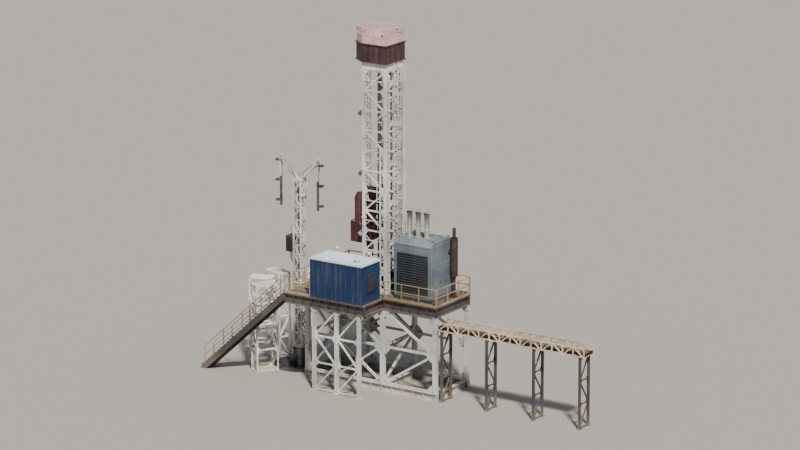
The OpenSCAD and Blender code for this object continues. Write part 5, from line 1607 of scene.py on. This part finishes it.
def bridge_cables():
    """Three cables that lie along the far side of the bridge's tray."""
    cables = Metalwork()
    start, step = BRIDGE_X[0] + 0.02, BRIDGE_LENGTH * 0.996 / 24
    for index, (radius, wave) in enumerate(((0.020, 0.4), (0.016, 1.7), (0.024, 2.9))):
        y = BRIDGE_Y[1] - 0.133 + 0.018 * index
        z = BRIDGE_LOW + 0.045 + radius + 0.02 * (index % 2)
        path = [(start + step * k, y + 0.006 * math.sin(wave + k * 1.1), z) for k in range(25)]
        cables.tube(path, radius, 0.1)
    cables.finish("bridge_cables", "line_rubber")


def trestle_fittings():
    """Foot bolts, head plates and gussets of the bridge's trestles."""
    feet = Metalwork()
    near, far = BRIDGE_Y
    rise = (BRIDGE_LOW - POST_FOOT - 0.07) / 3
    for x in TRESTLES_X:
        for y in (near + 0.065, far - 0.065):
            feet.four_bolts(x, y, POST_FOOT, 0.098, 0.032)
            feet.block((x - 0.085, y - 0.085, BRIDGE_LOW - 0.03), (x + 0.085, y + 0.085, BRIDGE_LOW), 0.003)
        for level in range(4):
            z = POST_FOOT + 0.035 + level * rise
            up = 0.17 if level < 3 else -0.17
            for face in SIDES:
                for y, way in ((near + 0.13, 1), (far - 0.13, -1)):
                    gusset(feet, (x + face * 0.035, y, z), (0, way * 0.16, 0), (0, 0, up), 0.008,
                           (face, 0, 0), 0 < level < 3)
    feet.finish("trestle_fittings", "floor_paint")


def slewing_fittings():
    """Foot bolts, the slewing ring's teeth and its motor's cap on the pipe handler's base."""
    base = Metalwork()
    base.bolt_circle((HANDLER_X, 0, POST_FOOT), (0, 0, 1), 1.50, 24, 0.05, math.radians(7.5))
    base.collar(0.43, 0.475, 0.07, (HANDLER_X, 0, 1.05), (0, 0, 1), 48)
    ring = Vector((HANDLER_X, 0, 1.085))
    for tooth in range(60):
        angle = math.tau * tooth / 60
        out = Vector((math.cos(angle), math.sin(angle), 0))
        base.bar(ring + out * 0.47, ring + out * 0.488, 0.022, 0.06, side=(-out.y, out.x, 0))
    motor_x, motor_top = HANDLER_X + 0.60, 1.17
    base.turned(((0.0, 0.0), (0.10, 0.0), (0.10, 0.03), (0.05, 0.05), (0.0, 0.05)),
                (motor_x, 0, motor_top), (motor_x, 0, 2), 20)
    base.bolt_circle((motor_x, 0, motor_top), (0, 0, 1), 0.115, 8, 0.02)
    base.finish("slewing_fittings", "steel")


def handler_rungs():
    """Flange bolts, ladder rungs and the grips' bolted cheek plates and brackets."""
    metal = Metalwork()
    metal.bolt_circle((HANDLER_X, 0, 1.26), (0, 0, 1), 0.395, 20, 0.034, 0.1)
    for rung in range(33):
        z = 1.7 + rung * 0.3
        metal.staple((HANDLER_X - 0.20, 0.31, z), (HANDLER_X + 0.20, 0.31, z), (0, 0.06, 0), 0.010, 0.03)
    for side in SIDES:
        x = HANDLER_X + side * GRIP_REACH
        for face in SIDES:
            metal.block((x - 0.085, face * 0.057, 11.62), (x + 0.085, face * 0.072, 12.98), 0.003)
            for z in (11.68, 12.02, 12.36, 12.62, 12.9):
                metal.bolt((x, face * 0.072, z), (0, face, 0), 0.035)
        metal.block((x - 0.085, -0.072, 12.90), (x + 0.085, 0.072, 12.93), 0.003)
        bracket = ((0.08, 12.88), (0.42, 12.62), (0.30, 12.50), (0.08, 12.30))
        metal.plate([(x - side * reach, -0.012, z) for reach, z in bracket], (0, 0.024, 0))
    metal.finish("handler_rungs", "mast_paint", HANDLER)


def grip_fittings():
    """Heads, hinge pins, collars, toes and bolts of the two grip rails."""
    steel = Metalwork()
    for side in SIDES:
        x, hinge = HANDLER_X + side * GRIP_REACH, HANDLER_X + side * 1.44
        steel.rod((x, 0, 12.72), (x, 0, 12.84), 0.085, 16, edge=0.01)
        for z in (10.05, 11.29, 12.53):
            steel.rod((hinge, 0, z - 0.02), (hinge, 0, z + 0.14), 0.022, 12)
            steel.block((x - 0.07, -0.075, z - 0.01), (x + 0.07, 0.075, z + 0.13), 0.012)
        steel.rod((x, 0, 9.86), (x, 0, 9.80), 0.04, 12)
        for z in (10.5, 10.85, 11.7, 12.1):
            for face in SIDES:
                steel.bolt((x, face * 0.055, z), (0, face, 0), 0.035)
    steel.finish("grip_fittings", "steel", HANDLER)


def handler_valve_box():
    """The valve box on the handler's column, with its brackets, ports and cover plate."""
    dark = Metalwork()
    near, face = -0.27, HANDLER_X - 0.42
    dark.block((HANDLER_X - 0.86, near, 7.05), (face, -near, 8.05), 0.025)
    for z in (7.15, 7.87):
        dark.block((face - 0.01, -0.20, z), (face + 0.11, 0.20, z + 0.07), 0.006)
    for port in range(5):
        x = HANDLER_X - 0.76 + port * 0.065
        dark.rod((x, near, 7.2), (x, near - 0.035, 7.2), 0.020, 10)
        dark.rod((x, near, 7.8), (x, near - 0.03, 7.8), 0.024, 8)
    dark.block((HANDLER_X - 0.80, near - 0.01, 7.36), (HANDLER_X - 0.48, near, 7.66), 0.004)
    dark.finish("handler_valve_box", "louvre_paint", HANDLER)


def handler_hoses():
    """Hoses from the valve box down to the base, and up the column to the grips."""
    hoses = Metalwork()
    column = HANDLER_X - 0.345
    for index in range(4):
        y = -0.15 + index * 0.1
        hoses.tube(((HANDLER_X - 0.6 + index * 0.02, y, 7.06), (HANDLER_X - 0.6, y, 6.7),
                    (column, y * 0.9, 6.2), (column, y * 0.9, 1.8),
                    (HANDLER_X - 0.28, y * 0.8, 1.4)), 0.018, 0.25)
    for side in SIDES:
        hoses.tube(((HANDLER_X - 0.55, side * 0.1, 8.04), (HANDLER_X - 0.53, side * 0.12, 8.5),
                    (HANDLER_X - 0.35, side * 0.13, 9.0), (column, side * 0.13, 11.45),
                    (HANDLER_X - 0.2, side * 0.1, 11.7), (HANDLER_X + side * 0.5, side * 0.095, 12.2),
                    (HANDLER_X + side * 1.2, side * 0.095, 12.85),
                    (HANDLER_X + side * 1.3, side * 0.07, 12.3)), 0.014, 0.2)
    hoses.finish("handler_hoses", "line_rubber", HANDLER)


def one_bin():
    """The steel fittings and the floor boards of one pipe bin, as it stands at the origin."""
    steel, boards = Metalwork(), Metalwork()
    for x, in_x in ((0.045, 1), (1.405, -1)):
        for y, in_y in ((-BIN_HALF + 0.045, 1), (BIN_HALF - 0.045, -1)):
            steel.block((x - in_x * 0.044, y - in_y * 0.044, 0.0),
                        (x + in_x * 0.12, y + in_y * 0.12, 0.016))
            steel.bolt((x + in_x * 0.09, y + in_y * 0.09, 0.016), (0, 0, 1), 0.03)
            steel.block((x - 0.044, y - 0.044, BIN_TOP - 0.002),
                        (x + 0.044, y + 0.044, BIN_TOP + 0.008), 0.003)
    rise = (BIN_TOP - 0.09) / 4
    for face in SIDES:
        y = face * BIN_HALF
        for level in range(5):
            z = level * rise
            for x, along in ((0.09, (0.17, 0, 0)), (1.36, (-0.17, 0, 0))):
                if level < 4:
                    gusset(steel, (x, y, z + 0.09), along, (0, 0, 0.17), 0.008, (0, face, 0))
                if level > 0:
                    gusset(steel, (x, y, z), along, (0, 0, -0.17), 0.008, (0, face, 0))
    for index in range(5):
        y = -BIN_HALF + 0.17 + index * 0.13
        steel.rod((1.43, y, 5.16), (1.43, y, 5.31), 0.016, 8)
    for board in range(7):
        y = -BIN_HALF + 0.10 + board * 0.096
        boards.block((0.095, y, 0.028), (1.355, y + 0.084, 0.062), 0.005)
    return steel, boards


def bin_fittings():
    """Foot plates, corner gussets, latch pins and floor boards of the four pipe bins in their fan."""
    centre, outward = Matrix.Translation((HANDLER_X, 0, 0)), Matrix.Translation((1.65, 0, 0))
    places = [centre @ Matrix.Rotation(math.radians(angle), 4, "Z") @ outward
              for angle in (120, 160, 200, 240)]
    for part, name, slot in zip(one_bin(), ("bin_fittings", "bin_boards"), ("bin_paint", "bridge_paint")):
        metal = Metalwork()
        metal.copies(part, places)
        part.mesh.free()
        metal.finish(name, slot)


def dress_nodes():
    """Gives every node of the frame the finish of its slot in the record."""
    slots = {row["node"]: row["material_slot"] for row in frame["record"]["subparts"]}
    for name, node in frame["nodes"].items():
        node.data.materials.clear()
        node.data.materials.append(FINISHES[slots[name]].material)


def add_camera():
    """Puts the camera where the photograph was taken from."""
    camera = bpy.data.objects.new("camera", bpy.data.cameras.new("camera"))
    bpy.context.scene.collection.objects.link(camera)
    camera.data.lens = CAMERA_LENS
    camera.data.sensor_width = CAMERA_SENSOR
    camera.data.clip_end = 1000
    camera.location = CAMERA_PLACE
    camera.rotation_euler = (CAMERA_AIM - CAMERA_PLACE).to_track_quat("-Z", "Y").to_euler()
    bpy.context.scene.camera = camera


def add_light():
    """A pale sky and a sun high behind the camera."""
    world = bpy.data.worlds.new("pale studio")
    bpy.context.scene.world = world
    bpy.context.scene.view_settings.look = "AgX - Medium High Contrast"
    world.use_nodes = True
    world.node_tree.nodes["Background"].inputs["Color"].default_value = SKY_COLOUR
    world.node_tree.nodes["Background"].inputs["Strength"].default_value = SKY_STRENGTH
    sun = bpy.data.objects.new("key light", bpy.data.lights.new("key light", "SUN"))
    sun.data.energy = SUN_STRENGTH
    sun.data.angle = math.radians(5)
    sun.data.color = SUN_COLOUR
    sun.location = (60, -60, 80)
    sun.rotation_euler = SUN_FROM.to_track_quat("Z", "Y").to_euler()
    bpy.context.scene.collection.objects.link(sun)


def add_floor():
    """A plain floor that shows only in the pictures."""
    mesh = bmesh.new()
    bmesh.ops.create_grid(mesh, x_segments=1, y_segments=1, size=400)
    data = bpy.data.meshes.new("studio floor")
    mesh.to_mesh(data)
    mesh.free()
    floor = bpy.data.objects.new("studio_floor", data)
    bpy.context.scene.collection.objects.link(floor)
    finish = Finish("plain pale floor", 0.9)
    finish.colour((0.33, 0.31, 0.285, 1.0))
    data.materials.append(finish.material)


add_camera()
add_light()
add_floor()
dress_nodes()

# Base, legs and floor
leg_plates()
brace_gussets()
skid_stiffeners()
girder_stiffeners()
deck_plates()
rotary_trim()
stair_gratings()
rail_fittings()

# Mast and its head
mast_gussets()
mast_fine_bracing()
ladder_cage()
mast_standpipe()
mast_cable_tray()
mast_back_lines()
head_fittings()
sheave_caps()
head_grating()
guard_pickets()
head_beacon()
mast_floodlights()

# Ropes, winch and top drive
hoist_wires()
drum_windings()
winch_details()
gearbox_details()
motor_fins()
drive_pins()
drive_hoses()
elevator_details()
carriage_details()
drive_guard()

# Cabin
cabin_frame()
cabin_openings()
cabin_grille()
cabin_roof_fittings()
cabin_lamps()
cabin_post_plates()

# Power unit, stacks and silencer
power_unit_frame()
power_unit_doors()
louvre_bars()
stack_fittings()
silencer_fittings()

# Pipe bridge
bridge_gussets()
line_clamps()
bridge_cables()
trestle_fittings()

# Pipe handler and bins
slewing_fittings()
handler_rungs()
grip_fittings()
handler_valve_box()
handler_hoses()
bin_fittings()
